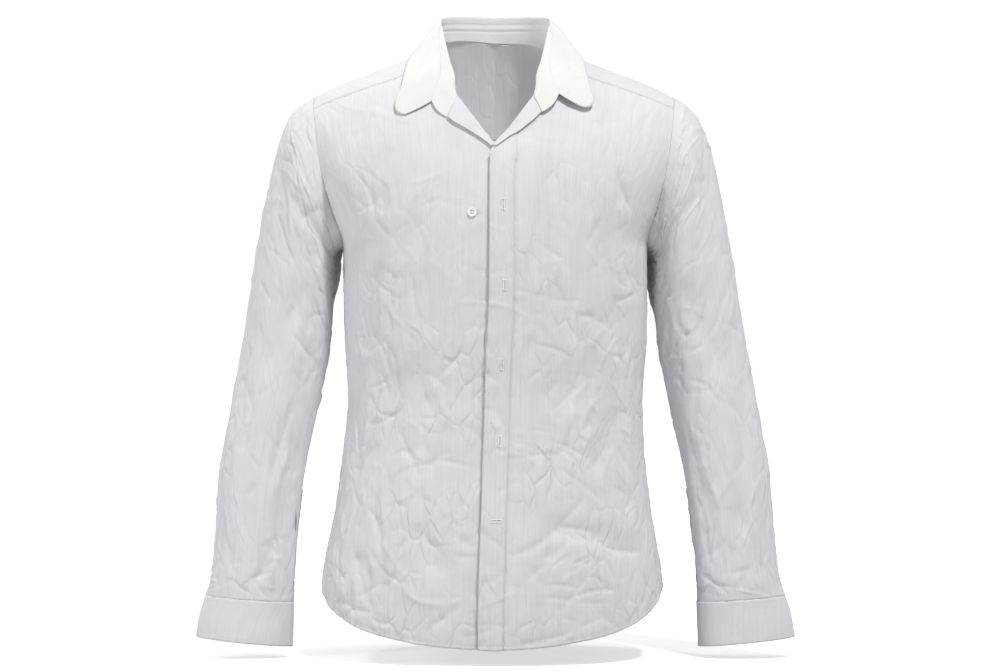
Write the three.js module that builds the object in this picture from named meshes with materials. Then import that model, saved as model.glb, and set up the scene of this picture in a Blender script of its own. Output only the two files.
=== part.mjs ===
// A man's button-up shirt, filled out as if it were worn, with its neck open and its
// fronts and stand ends turned out. Millimetres, +Z up. The front faces -Y, and +X is the
// wearer's left. The origin is the middle of the neck opening, level with the high point
// of the shoulders. Each cut and sewn piece is a wall of its own.
import * as THREE from "three";
import { mergeVertices } from "three/addons/utils/BufferGeometryUtils.js";

// ---------------------------------------------------------------- driving sizes
const CLOTH = 1.2; // wall of the grey cloth, with its turnings
const BAND_CLOTH = 1.6; // wall of the stand, leaf and cuffs, which are two layers
const SEAM_GAP = 0.3; // what parts two pieces that are sewn together
const SEAM_TRIM = 0.45; // how far a wall is drawn in at a seam, so that its thickness clears too
const LAP_LIFT = 3.5; // how far the left front stands off the right one, over its buttons
const LAP_FULL = 30; // the lap is at its full lift this far from the middle
const LAP_GONE = 85; // and is gone this far out
const LAP_TOP_Z = -98; // above this height the fronts part, and nothing laps
const LAP_FULL_Z = -128;
const ROLL_END_Z = -124; // where the roll lines of both fronts meet
const LAP_EDGE_Z = -150; // the inner edge's height on the row that ends at the underarm
const PLACKET_WIDTH = 30;
const BAND_WALL = 1; // of the bands laid on a front or a sleeve

const CHEST_Z = -240; // underarm level, where the roof of the shoulders starts
const ROUNDNESS = 2.4; // exponent of the oval cross-sections
const ROOF_RISE = 2.6; // exponents of the curve from chest to shoulder ridge
const ROOF_DEPTH = 1.7;
const SIDE_SEAM_ANGLE = 85; // degrees round from the front middle
const YOKE_BACK_Z = -100;
const HEM_SIDE_Z = -662;
const BACK_TAIL = 10; // how much longer the back's tail is
const BACK_FOLDS_TOP_Z = -130; // the back has no folds above this height
const YOKE_SPREAD = 95; // the yoke's columns from the neck reach this far out on its back seam

const NECK_MIDDLE = 2; // the collar sits this far to the wearer's left
const NECK_HALF_WIDTH = 72;
const NECK_CENTRE_Y = -5;
const NECK_BACK = 80; // from the neck's centre back to the seam
const NECK_FRONT = 108;
const NECK_CORNER = 140; // degrees round from the back, where the roll line starts
const NECK_SHOULDER = 111; // degrees round, where the shoulder seam meets the neck

const SHOULDER_TIP_Z = -54.6;
const CUFF_WALL_LIFT = BAND_CLOTH + 0.4;
const CUFF_UNDER_START = 190; // degrees round the wrist, 180 is next to the body
const CUFF_LAP = 42; // how many degrees of the cuff lie over its other end
const CUFF_BUTTON_INSET = 12; // the cuff's button lies this far in from the lap's end

const BUTTON_RADIUS = 5.5;
const BUTTON_THICKNESS = 1.5;

// Half widths and depths of the body by height. Above the underarm they are the ovals
// that the shoulders are cut from.
const GIRTHS = [
  { z: -745, right: 217, left: 213, front: 113, back: 121 },
  { z: -653, right: 213, left: 208, front: 116, back: 122 },
  { z: -553, right: 195, left: 193, front: 113, back: 113 },
  { z: -491, right: 187, left: 186, front: 110, back: 104 },
  { z: -429, right: 181, left: 184, front: 110, back: 101 },
  { z: -343, right: 185, left: 189, front: 117, back: 108 },
  { z: -240, right: 187, left: 190, front: 124, back: 118 },
  { z: -200, right: 205, left: 206, front: 124, back: 120 },
  { z: -150, right: 232, left: 232, front: 123, back: 120 },
  { z: -100, right: 252, left: 252, front: 120, back: 116 },
  { z: -50, right: 262, left: 262, front: 118, back: 111 },
  { z: 120, right: 275, left: 275, front: 110, back: 104 },
];

// Height of the shoulder ridge by distance from the middle. Inside the neck hole it is
// only the line that the front and the back rise towards.
const RIDGE = [
  { x: 0, front: 24, back: 117 },
  { x: 35, front: 21, back: 86 },
  { x: 60, front: 17, back: 39 },
  { x: 72, front: 13, back: 14 },
  { x: 90, front: 1, back: 1 },
  { x: 115, front: -10, back: -10 },
  { x: 155, front: -25.5, back: -25.5 },
  { x: 193, front: -40.5, back: -40.5 },
  { x: 222, front: -54.4, back: -54.4 },
  { x: 260, front: -75, back: -75 },
];

// How far below the ridge the shoulder seam lies, on the front.
const SEAM_DROP = [
  { x: 60, drop: 19 },
  { x: 115, drop: 24 },
  { x: 150, drop: 22 },
  { x: 225, drop: 17.5 },
];

// The armhole's distance out, as a share of the body's half width at that height.
const ARMHOLE = [
  { z: -240, share: 1 },
  { z: -232, share: 0.992 },
  { z: -216, share: 0.975 },
  { z: -190, share: 0.953 },
  { z: -162, share: 0.917 },
  { z: -130, share: 0.885 },
  { z: -100, share: 0.863 },
  { z: -70, share: 0.8555 },
  { z: -50, share: 0.8535 },
];

// Inner edges of the fronts. Above the crossing they are the roll lines.
const FRONT_EDGES = [
  { z: -745, left: -19, right: 12 },
  { z: -666, left: -18, right: 13 },
  { z: -546, left: -14.4, right: 17 },
  { z: -462, left: -12, right: 19 },
  { z: -379, left: -9.6, right: 21 },
  { z: -306, left: -6, right: 25 },
  { z: -170, left: -5, right: 26 },
  { z: -150, left: -5, right: 21 },
  { z: -133, left: -4.5, right: 9 },
  { z: -97, left: 22, right: -17.5 },
  { z: -61, left: 48.3, right: -44.3 },
  { z: -40, left: 64, right: -60 },
];

// Hem height by the share of the half width.
const HEM = [
  { share: 0, z: -727 },
  { share: 0.3, z: -723 },
  { share: 0.55, z: -715 },
  { share: 0.72, z: -706 },
  { share: 0.85, z: -694 },
  { share: 0.93, z: -682 },
  { share: 1, z: HEM_SIDE_Z },
];

// Free edge of the front's turned-out corner, by the share of the way down the roll line.
const TURNED_EDGE = [
  { share: 0, out: 9.5, down: 23 },
  { share: 0.3, out: 16, down: 13 },
  { share: 0.6, out: 12, down: 7 },
  { share: 0.85, out: 7, down: 3 },
  { share: 1, out: 3, down: 1 },
];
const TURN_RADIUS = 0.8; // inside radius of the fold on the roll line
const TURN_LIFT = 1.2; // how far more the free edge stands off the front
const TURN_PARTS = [1, 0.66, 0.33, 0.06]; // shares of the way out where it has points

// Sections of the sleeves: where each section's outer and inner end is, its depth to the
// front and the back, and how far forward its middle lies.
const SLEEVE = [
  { outerX: 236, outerZ: -62, innerX: 195.5, innerZ: -246, front: 60, back: 58, forward: 0 },
  { outerX: 254, outerZ: -82, innerX: 198, innerZ: -256, front: 61, back: 60, forward: 0 },
  { outerX: 267, outerZ: -114, innerX: 198.5, innerZ: -272, front: 60, back: 61, forward: -1 },
  { outerX: 278, outerZ: -158, innerX: 198.5, innerZ: -295, front: 58, back: 60, forward: -2 },
  { outerX: 289, outerZ: -214, innerX: 199.5, innerZ: -323, front: 55, back: 58, forward: -3 },
  { outerX: 300, outerZ: -276, innerX: 202.5, innerZ: -358, front: 52, back: 55, forward: -4 },
  { outerX: 309, outerZ: -338, innerX: 209.5, innerZ: -398, front: 50, back: 52, forward: -4 },
  { outerX: 319.5, outerZ: -398, innerX: 219, innerZ: -444, front: 47, back: 49, forward: -2 },
  { outerX: 331, outerZ: -460, innerX: 230, innerZ: -494, front: 44, back: 45, forward: 2 },
  { outerX: 341, outerZ: -524, innerX: 238, innerZ: -546, front: 40, back: 40, forward: 7 },
  { outerX: 346, outerZ: -588, innerX: 245.5, innerZ: -601, front: 35, back: 35, forward: 12 },
  { outerX: 351, outerZ: -638, innerX: 249.5, innerZ: -648, front: 30, back: 30, forward: 15 },
  { outerX: 359.5, outerZ: -669, innerX: 251.5, innerZ: -677, front: 27, back: 26, forward: 16 },
];
const CUFF = [
  { outerX: 359.5, outerZ: -669, innerX: 251.5, innerZ: -677, front: 27, back: 26, forward: 16 },
  { outerX: 367, outerZ: -694, innerX: 252.5, innerZ: -704, front: 27, back: 26, forward: 17 },
  { outerX: 371, outerZ: -720, innerX: 253.5, innerZ: -732, front: 27, back: 26, forward: 18 },
];
const SLEEVE_STEPS = 18; // sections built along a sleeve
const SLEEVE_CROWDING = 1.12; // above 1, the sections lie closer together at the armhole
const SLIT_STEPS = 4; // sections that the slit above the cuff is long
const WRIST_LEAN = -3.5; // how much further out the right cuff hangs than the left one
const LEAN_FROM_Z = -480; // the lean starts here
const LEAN_FULL_Z = -680;
const CUFF_COLUMNS = 30;
const CUFF_ROWS = 4;

// Half of the collar, from the middle of the back to the turned-out end. seam is where the
// stand meets the neck, crest where it folds or stands highest, join where leaf and stand
// meet, edge the leaf's free edge, bulge how far the leaf rolls out between.
const COLLAR = [
  { seam: [0, 75, 24], crest: [0, 74.5, 38.5], join: [0, 73, 52.5], edge: [0, 92, 12], bulge: 9 },
  { neck: 32, join: [37, 60, 51.8], edge: [47, 79, 9], bulge: 9 },
  { neck: 60, join: [58, 36, 48.6], edge: [79, 54, 4], bulge: 8 },
  { neck: 82, join: [67, 9, 43], edge: [99, 22, -1], bulge: 6 },
  { neck: 95, join: [67.5, -12, 36.5], edge: [105.5, -6, -4], bulge: 5 },
  { neck: 104, crest: [66, -29, 27.5], join: [69, -29, 27], edge: [109, -35, -17], bulge: 4.5 },
  { neck: 115, crest: [62, -48, 12], join: [69, -48, 10], edge: [112, -55, -33], bulge: 4 },
  { neck: 127, crest: [56.5, -68, -13], join: [67, -64, -10], edge: [115, -69, -50], bulge: 3.5 },
  { neck: 134, crest: [51.5, -81, -36], join: [67, -76, -28], edge: [119, -78, -64], bulge: 3 },
  { seam: [46.7, -90.8, -60.3], crest: [58, -88, -48], join: [70, -83, -40],
    edge: [116, -84.5, -72], bulge: 2.5 },
  { seam: [51.3, -95.8, -70.6], crest: [62, -92, -57], join: [73.5, -87, -48],
    edge: [110, -87, -74], bulge: 2 },
  { seam: [55.8, -100, -80.8], crest: [65.5, -96, -68], join: [76.5, -90, -56.5],
    edge: [104, -89, -73], bulge: 1.5 },
];
const LEAF_FOLD = 2.4; // how far above the stand the leaf folds over
const STAND_LIFT = 1.1; // from the neck seam to the stand's lower edge
const TURNED_FROM = 0.38; // share of the half collar where it starts to be turned out
const TURNED_FULL = 0.52;
const COLLAR_STEPS = 22; // sections built along half of the collar
const STAND_ROWS = 6;
const LEAF_ROWS = 7;

// The largest folds of the body and the sleeves, as troughs along straight runs. A body row
// runs in x and z on the front or the back, a sleeve row in degrees round and the share of
// the way down.
const BODY_FOLDS = [
  { back: false, x1: 68, z1: -150, x2: 68, z2: -262, reach: 13, depth: 3.2 },
  { back: false, x1: 68, z1: -262, x2: 94, z2: -443, reach: 14, depth: 3.5 },
  { back: false, x1: 122, z1: -112, x2: 158, z2: -196, reach: 13, depth: 3.5 },
  { back: false, x1: 150, z1: -300, x2: 152, z2: -372, reach: 12, depth: 3 },
  { back: false, x1: 150, z1: -435, x2: 116, z2: -515, reach: 14, depth: 3.2 },
  { back: false, x1: 60, z1: -575, x2: 176, z2: -608, reach: 13, depth: 3.5 },
  { back: false, x1: -134, z1: -262, x2: -160, z2: -372, reach: 14, depth: 3.8 },
  { back: false, x1: -104, z1: -388, x2: -158, z2: -530, reach: 14, depth: 3.6 },
  { back: false, x1: -92, z1: -575, x2: -64, z2: -640, reach: 13, depth: 3.2 },
  { back: false, x1: -126, z1: -120, x2: -146, z2: -200, reach: 13, depth: 3.4 },
  { back: false, x1: -168, z1: -612, x2: -132, z2: -652, reach: 12, depth: 3 },
  { back: true, x1: -118, z1: -180, x2: -66, z2: -330, reach: 16, depth: 4 },
  { back: true, x1: 112, z1: -176, x2: 78, z2: -352, reach: 16, depth: 4 },
  { back: true, x1: -60, z1: -400, x2: -104, z2: -560, reach: 15, depth: 3.8 },
  { back: true, x1: 44, z1: -386, x2: 92, z2: -540, reach: 15, depth: 3.8 },
  { back: true, x1: -10, z1: -520, x2: 30, z2: -668, reach: 15, depth: 3.4 },
];
const SLEEVE_FOLDS = [
  { round1: 150, down1: 0.16, round2: 70, down2: 0.3, reach: 14, depth: 3.4 },
  { round1: 40, down1: 0.22, round2: 62, down2: 0.42, reach: 13, depth: 3.2 },
  { round1: 110, down1: 0.4, round2: 70, down2: 0.62, reach: 13, depth: 3.6 },
  { round1: 60, down1: 0.66, round2: 96, down2: 0.92, reach: 12, depth: 3.2 },
  { round1: 140, down1: 0.7, round2: 118, down2: 0.9, reach: 11, depth: 2.8 },
  { round1: 250, down1: 0.22, round2: 300, down2: 0.42, reach: 14, depth: 3.6 },
  { round1: 290, down1: 0.5, round2: 236, down2: 0.66, reach: 13, depth: 3.4 },
  { round1: 262, down1: 0.74, round2: 300, down2: 0.92, reach: 12, depth: 3 },
];

// Buttons of the front, on the right front: the first shows, the rest lie under the lap.
// sink is how far the wall's flat facets lie inside the true surface there.
const FRONT_BUTTONS = [
  { x: -25.7, z: -202, sink: 0.5 },
  { x: 13, z: -289, sink: 0 },
  { x: 10, z: -384, sink: 0 },
  { x: 7, z: -476, sink: 0 },
  { x: 3.6, z: -571, sink: 0 },
];

// ---------------------------------------------------------------- grid sizes
const NECK_ROWS = 3; // rows of a front from the shoulder seam to the roll line
const ROLL_ROWS = 5; // and along the roll line
const ARM_ROWS_FRONT = 9;
const ARM_ROWS_BACK = 8;
const YOKE_ROWS = 6;
const BODY_ROWS = 17; // below the underarm
const PLACKET_COLUMNS = 3;
const FRONT_COLUMNS = 12;
const BACK_COLUMNS = 26;
const YOKE_NECK_COLUMNS = 8; // of each half of the yoke, along the neck

// ---------------------------------------------------------------- small helpers
const degrees = THREE.MathUtils.degToRad;
const mix = THREE.MathUtils.lerp;
const smooth = THREE.MathUtils.smoothstep;
const power = (value, exponent) => Math.sign(value) * Math.abs(value) ** exponent;

// Value of a column at a place along a table, smooth and without overshoot. Rows rise in
// the key column.
function lookup(rows, key, place, column) {
  const last = rows.length - 1;
  let i = 0;
  while (i < last - 1 && place > rows[i + 1][key]) i += 1;
  const slope = (k) => (rows[k + 1][column] - rows[k][column]) / (rows[k + 1][key] - rows[k][key]);
  const tangent = (k) => {
    if (k === 0) return slope(0);
    if (k === last) return slope(last - 1);
    const [a, b] = [slope(k - 1), slope(k)];
    return a * b > 0 ? (2 * a * b) / (a + b) : 0;
  };
  const width = rows[i + 1][key] - rows[i][key];
  const t = Math.min(1, Math.max(0, (place - rows[i][key]) / width));
  const [p, q] = [rows[i][column], rows[i + 1][column]];
  return (
    p * (2 * t ** 3 - 3 * t ** 2 + 1) +
    q * (3 * t ** 2 - 2 * t ** 3) +
    width * (tangent(i) * (t ** 3 - 2 * t ** 2 + t) + tangent(i + 1) * (t ** 3 - t ** 2))
  );
}

// Where a rising function reaches a value, between two bounds.
function solve(rising, value, low, high) {
  let [a, b] = [low, high];
  for (let k = 0; k < 40; k += 1) {
    const middle = (a + b) / 2;
    if (rising(middle) < value) a = middle;
    else b = middle;
  }
  return (a + b) / 2;
}

// ---------------------------------------------------------------- the body's surface
const halfWidth = (x, z) => lookup(GIRTHS, "z", z, x < 0 ? "right" : "left");
const ridgeHeight = (x, back) => lookup(RIDGE, "x", Math.abs(x), back ? "back" : "front");

// Depth of the oval at a place, before the shoulders close over it.
function ovalDepth(x, z, back) {
  const share = Math.min(1, Math.abs(x) / halfWidth(x, z));
  return lookup(GIRTHS, "z", z, back ? "back" : "front") * (1 - share ** ROUNDNESS) ** (1 / ROUNDNESS);
}

const rise = (x, z, back) =>
  THREE.MathUtils.clamp((z - CHEST_Z) / (ridgeHeight(x, back) - CHEST_Z), 0, 1);

function bodyPoint(x, z, back) {
  const depth = ovalDepth(x, z, back) * (1 - rise(x, z, back) ** ROOF_RISE) ** (1 / ROOF_DEPTH);
  return new THREE.Vector3(x, back ? depth : -depth, z);
}

// The same surface over the shoulders, by distance out and by an angle over the ridge that
// is below zero on the front.
function shoulderPoint(x, over) {
  const back = over > 0;
  const z = CHEST_Z + (ridgeHeight(x, back) - CHEST_Z) * Math.cos(over) ** (2 / ROOF_RISE);
  return new THREE.Vector3(x, power(Math.sin(over), 2 / ROOF_DEPTH) * ovalDepth(x, z, back), z);
}

const overAngle = (x, z, back) => (back ? 1 : -1) * Math.acos(rise(x, z, back) ** (ROOF_RISE / 2));

// ---------------------------------------------------------------- seam lines
// The armhole, by degrees round it from the shoulder tip: the front first, then the back.
function armholePoint(side, round) {
  const angle = degrees(round);
  const z = mix(CHEST_Z, SHOULDER_TIP_Z, (1 + Math.cos(angle)) / 2);
  const x = side * lookup(ARMHOLE, "z", z, "share") * halfWidth(side, z);
  return bodyPoint(x, z, Math.sin(angle) < 0);
}

// The neck seam, by degrees round from the middle of the back.
function neckPoint(side, round) {
  const angle = degrees(round);
  const x = NECK_MIDDLE + side * NECK_HALF_WIDTH * Math.sin(angle);
  const y = NECK_CENTRE_Y + (round < 90 ? NECK_BACK : NECK_FRONT) * Math.cos(angle);
  const over = solve((a) => shoulderPoint(x, a).y, y, -1.5, 1.5);
  return { point: shoulderPoint(x, over), x, over };
}

const seamHeight = (x) => ridgeHeight(x, false) - lookup(SEAM_DROP, "x", Math.abs(x), "drop");
const frontEdge = (side, z) => lookup(FRONT_EDGES, "z", z, side > 0 ? "left" : "right");
const hemHeight = (share) => lookup(HEM, "share", Math.abs(share), "z");

// Where the shoulder seam and the back yoke seam meet the armhole, in degrees round it.
const ARM_SEAM_FRONT = solve(
  (round) => seamHeight(armholePoint(1, round).x) - armholePoint(1, round).z, 0, 1, 90,
);
const ARM_SEAM_BACK = -solve((round) => YOKE_BACK_Z - armholePoint(1, round).z, 0, 1, 90);

// ---------------------------------------------------------------- folds
// Depth of the folds at a place: each is a trough that is deepest half way along.
function foldDepth(across, down, runs) {
  let depth = 0;
  for (const run of runs) {
    const [dx, dy] = [run.x2 - run.x1, run.y2 - run.y1];
    const along = ((across - run.x1) * dx + (down - run.y1) * dy) / (dx * dx + dy * dy);
    const near = THREE.MathUtils.clamp(along, 0, 1);
    const away = Math.hypot(across - run.x1 - near * dx, down - run.y1 - near * dy);
    const ends = 1 - (2 * near - 1) ** 4 * 0.6;
    depth += run.depth * ends * Math.exp(-((away / run.reach) ** 2));
  }
  return depth;
}

const bodyRuns = (back) =>
  BODY_FOLDS.filter((fold) => fold.back === back).map((fold) => ({ ...fold, y1: fold.z1, y2: fold.z2 }));

const MM_ROUND = 1; // one degree round a sleeve, in millimetres
const MM_DOWN = 640; // a sleeve's length
const SLEEVE_RUNS = SLEEVE_FOLDS.map((fold) => ({
  ...fold,
  x1: fold.round1 * MM_ROUND,
  y1: fold.down1 * MM_DOWN,
  x2: fold.round2 * MM_ROUND,
  y2: fold.down2 * MM_DOWN,
}));

// ---------------------------------------------------------------- sheets and walls
// A sheet is a list of grids of points: the rows of a grid run one way, their points the
// other, and grids that share points are joined there.
const placeKey = (p) => [p.x, p.y, p.z].map((value) => Math.round(value * 1000)).join();

function corners(sheet) {
  const points = [];
  const faces = [];
  const known = new Map();
  const index = (p) => {
    const key = placeKey(p);
    if (!known.has(key)) known.set(key, points.push(p.clone()) - 1);
    return known.get(key);
  };
  for (const grid of sheet) {
    const ids = grid.map((row) => row.map(index));
    for (let r = 0; r + 1 < ids.length; r += 1) {
      for (let c = 0; c + 1 < ids[r].length; c += 1) {
        const [a, b, d, e] = [ids[r][c], ids[r][c + 1], ids[r + 1][c], ids[r + 1][c + 1]];
        faces.push([a, d, b], [b, d, e]);
      }
    }
  }
  return { points, faces: faces.filter(([a, b, c]) => a !== b && b !== c && c !== a) };
}

function faceNormals({ points, faces }) {
  const normals = points.map(() => new THREE.Vector3());
  for (const [a, b, c] of faces) {
    const one = points[b].clone().sub(points[a]);
    const two = points[c].clone().sub(points[a]);
    const normal = one.cross(two);
    for (const id of [a, b, c]) normals[id].add(normal);
  }
  return normals.map((normal) => normal.normalize());
}

// Sinks the points of a sheet along its normals by a depth that depends on the place.
function sink(sheet, depthAt) {
  const { points, faces } = corners(sheet);
  const normals = faceNormals({ points, faces });
  const moved = new Map(
    points.map((p, i) => [placeKey(p), p.clone().addScaledVector(normals[i], -depthAt(p))]),
  );
  return sheet.map((grid) => grid.map((row) => row.map((p) => moved.get(placeKey(p)))));
}

// A wall between two offsets from a sheet, along its normals, closed round its edges.
function wall(sheet, outer, inner) {
  const { points, faces } = corners(sheet);
  const normals = faceNormals({ points, faces });
  const count = points.length;
  const position = [];
  for (const offset of [outer, inner]) {
    points.forEach((p, i) => position.push(...p.clone().addScaledVector(normals[i], offset)));
  }
  const index = [];
  const open = new Map();
  for (const [a, b, c] of faces) {
    index.push(a, b, c, a + count, c + count, b + count);
    for (const [p, q] of [[a, b], [b, c], [c, a]]) {
      if (!open.delete(`${q},${p}`)) open.set(`${p},${q}`, [p, q]);
    }
  }
  for (const [p, q] of open.values()) index.push(p, p + count, q, q, p + count, q + count);
  const geometry = new THREE.BufferGeometry();
  geometry.setAttribute("position", new THREE.Float32BufferAttribute(position, 3));
  geometry.setIndex(index);
  return geometry;
}

// Draws the points of one side of a grid in, along its rows or its columns.
function trimRow(grid, row, towards) {
  grid[row].forEach((p, c) => {
    p.add(grid[towards][c].clone().sub(p).setLength(SEAM_TRIM));
  });
}

function trimColumn(grid, fromRow) {
  for (const row of grid.slice(fromRow)) {
    const last = row.length - 1;
    row[0].add(row[1].clone().sub(row[0]).setLength(SEAM_TRIM));
    row[last].add(row[last - 1].clone().sub(row[last]).setLength(SEAM_TRIM));
  }
}

// Turns every face of a sheet over.
const flipped = (sheet) => sheet.map((grid) => grid.map((row) => [...row].reverse()));

// ---------------------------------------------------------------- fronts
// Both ends of a row of a front: its inner edge, and the armhole or the side seam.
function frontRowEnds(side, row) {
  if (row <= ARM_ROWS_FRONT) {
    const round = mix(ARM_SEAM_FRONT, 180, row / ARM_ROWS_FRONT);
    const outer = armholePoint(side, round);
    if (row <= NECK_ROWS) {
      const inner = neckPoint(side, mix(NECK_SHOULDER, NECK_CORNER, row / NECK_ROWS)).point;
      return { inner, outer };
    }
    const corner = neckPoint(side, NECK_CORNER).point.z;
    const share = (row - NECK_ROWS) / ROLL_ROWS;
    const z = share <= 1 ? mix(corner, ROLL_END_Z, share) : LAP_EDGE_Z;
    return { inner: new THREE.Vector3(frontEdge(side, z), 0, z), outer };
  }
  const share = (row - ARM_ROWS_FRONT) / BODY_ROWS;
  const innerZ = mix(LAP_EDGE_Z, hemHeight(0), share);
  const outerZ = mix(CHEST_Z, HEM_SIDE_Z, share);
  const angle = mix(90, SIDE_SEAM_ANGLE, Math.min(1, share * 4));
  const outerShare = Math.sin(degrees(angle)) ** (2 / ROUNDNESS);
  return {
    inner: new THREE.Vector3(frontEdge(side, innerZ), 0, innerZ),
    outer: new THREE.Vector3(side * outerShare * halfWidth(side, outerZ), 0, outerZ),
  };
}

// Shares of the half width at which the columns of a row lie: the placket's columns are at
// fixed distances from the inner edge, and the others are spread evenly round the body.
function columnShares(side, inner, outer) {
  const width = halfWidth(side, inner.z);
  const clamp = THREE.MathUtils.clamp;
  const turnAt = (share) => Math.asin(power(clamp(share, -1, 1), ROUNDNESS / 2));
  const shares = [];
  for (let c = 0; c < PLACKET_COLUMNS; c += 1) {
    shares.push((inner.x * side + (c * PLACKET_WIDTH) / PLACKET_COLUMNS) / width);
  }
  const from = turnAt((inner.x * side + PLACKET_WIDTH) / width);
  const to = turnAt(Math.abs(outer.x) / halfWidth(side, outer.z));
  const rest = FRONT_COLUMNS - PLACKET_COLUMNS;
  for (let c = 0; c <= rest; c += 1) {
    shares.push(power(Math.sin(mix(from, to, c / rest)), 2 / ROUNDNESS));
  }
  return shares;
}

// How far the shoulder seam lies above a straight line between its ends, column by column.
function seamBow(side) {
  const { inner, outer } = frontRowEnds(side, 0);
  const shares = columnShares(side, inner, outer);
  const [first, last] = [shares[0], shares[shares.length - 1]];
  return shares.map((share) => {
    const straight = mix(inner.z, outer.z, (share - first) / (last - first));
    return seamHeight(share * halfWidth(side, straight)) - straight;
  });
}

function lapLift(side, x, z) {
  if (side < 0) return 0;
  return (
    LAP_LIFT * (1 - smooth(x, LAP_FULL, LAP_GONE)) * (1 - smooth(z, LAP_FULL_Z, LAP_TOP_Z))
  );
}

function frontGrid(side) {
  const underarm = frontRowEnds(side, ARM_ROWS_FRONT);
  const bow = seamBow(side);
  const grid = [];
  for (let row = 0; row <= ARM_ROWS_FRONT + BODY_ROWS; row += 1) {
    const { inner, outer } = frontRowEnds(side, row);
    const shares = columnShares(side, inner, outer);
    const first = shares[0];
    const last = shares[shares.length - 1];
    const down = Math.max(0, (row - ARM_ROWS_FRONT) / BODY_ROWS);
    const seamHold = Math.max(0, 1 - row / NECK_ROWS) ** 2;
    grid.push(
      shares.map((share, column) => {
        const across = (share - first) / (last - first);
        const z = down
          ? mix(mix(underarm.inner.z, underarm.outer.z, across), hemHeight(share), down)
          : mix(inner.z, outer.z, across) + seamHold * bow[column];
        const x = side * share * halfWidth(side * share, z);
        const point = bodyPoint(x, z, false);
        point.y -= lapLift(side, x, z);
        return point;
      }),
    );
  }
  trimRow(grid, 0, 1);
  return grid;
}

// The corner of a front that is turned out over it: a fold of a small radius along the roll
// line, and the cloth beyond it laid on the front.
function turnedGrid(side, grid) {
  const rows = [];
  for (let k = 0; k < ROLL_ROWS; k += 1) {
    const [root, next] = grid[NECK_ROWS + k];
    const share = k / ROLL_ROWS;
    const inward = root.clone().sub(next).normalize();
    const out = lookup(TURNED_EDGE, "share", share, "out") * side;
    const down = lookup(TURNED_EDGE, "share", share, "down");
    const laid = (part) => {
      const [x, z] = [root.x + out * part, root.z - down * part];
      const point = bodyPoint(x, z, false);
      point.y -= 2 * TURN_RADIUS + lapLift(side, x, z) + TURN_LIFT * part;
      return point;
    };
    const fold = root.clone().addScaledVector(inward, TURN_RADIUS);
    fold.y -= TURN_RADIUS;
    rows.push([...TURN_PARTS.map(laid), fold, root]);
  }
  return rows;
}

function frontSheet(side) {
  const grid = frontGrid(side);
  const whole = [grid, turnedGrid(side, grid)];
  const runs = bodyRuns(false);
  const sheet = side > 0 ? whole : flipped(whole);
  return sink(sheet, (p) => (p.z > LAP_TOP_Z ? 0 : foldDepth(p.x, p.z, runs)));
}

// ---------------------------------------------------------------- back and yoke
function backSheet() {
  const grid = [];
  for (let row = 0; row <= ARM_ROWS_BACK + BODY_ROWS; row += 1) {
    const down = Math.max(0, (row - ARM_ROWS_BACK) / BODY_ROWS);
    const round = mix(ARM_SEAM_BACK, -180, Math.min(1, row / ARM_ROWS_BACK));
    const arm = armholePoint(1, round);
    const middleZ = mix(YOKE_BACK_Z, CHEST_Z, Math.min(1, row / ARM_ROWS_BACK));
    const outerZ = down ? mix(CHEST_Z, HEM_SIDE_Z, down) : arm.z;
    const angle = mix(90, SIDE_SEAM_ANGLE, Math.min(1, down * 4));
    const armTurn = Math.asin((arm.x / halfWidth(1, arm.z)) ** (ROUNDNESS / 2));
    const lastTurn = down ? Math.PI - degrees(angle) : armTurn;
    const points = [];
    for (let c = 0; c <= BACK_COLUMNS; c += 1) {
      const turn = mix(-lastTurn, lastTurn, c / BACK_COLUMNS);
      const share = power(Math.sin(turn), 2 / ROUNDNESS);
      const across = Math.abs(turn) / lastTurn;
      let z = mix(middleZ, outerZ, across ** 2);
      if (down) {
        const hemShare = Math.abs(turn) < degrees(90) ? Math.abs(share) : 1;
        z = mix(CHEST_Z, hemHeight(hemShare) - BACK_TAIL * (1 - across), down);
      }
      const x = share * halfWidth(share, z);
      points.push(bodyPoint(x, z, Math.cos(turn) > 0));
    }
    grid.push(points);
  }
  trimRow(grid, 0, 1);
  trimColumn(grid, ARM_ROWS_BACK);
  const runs = bodyRuns(true);
  return sink(flipped([grid]), (p) => (p.z > BACK_FOLDS_TOP_Z ? 0 : foldDepth(p.x, p.z, runs)));
}

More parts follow.
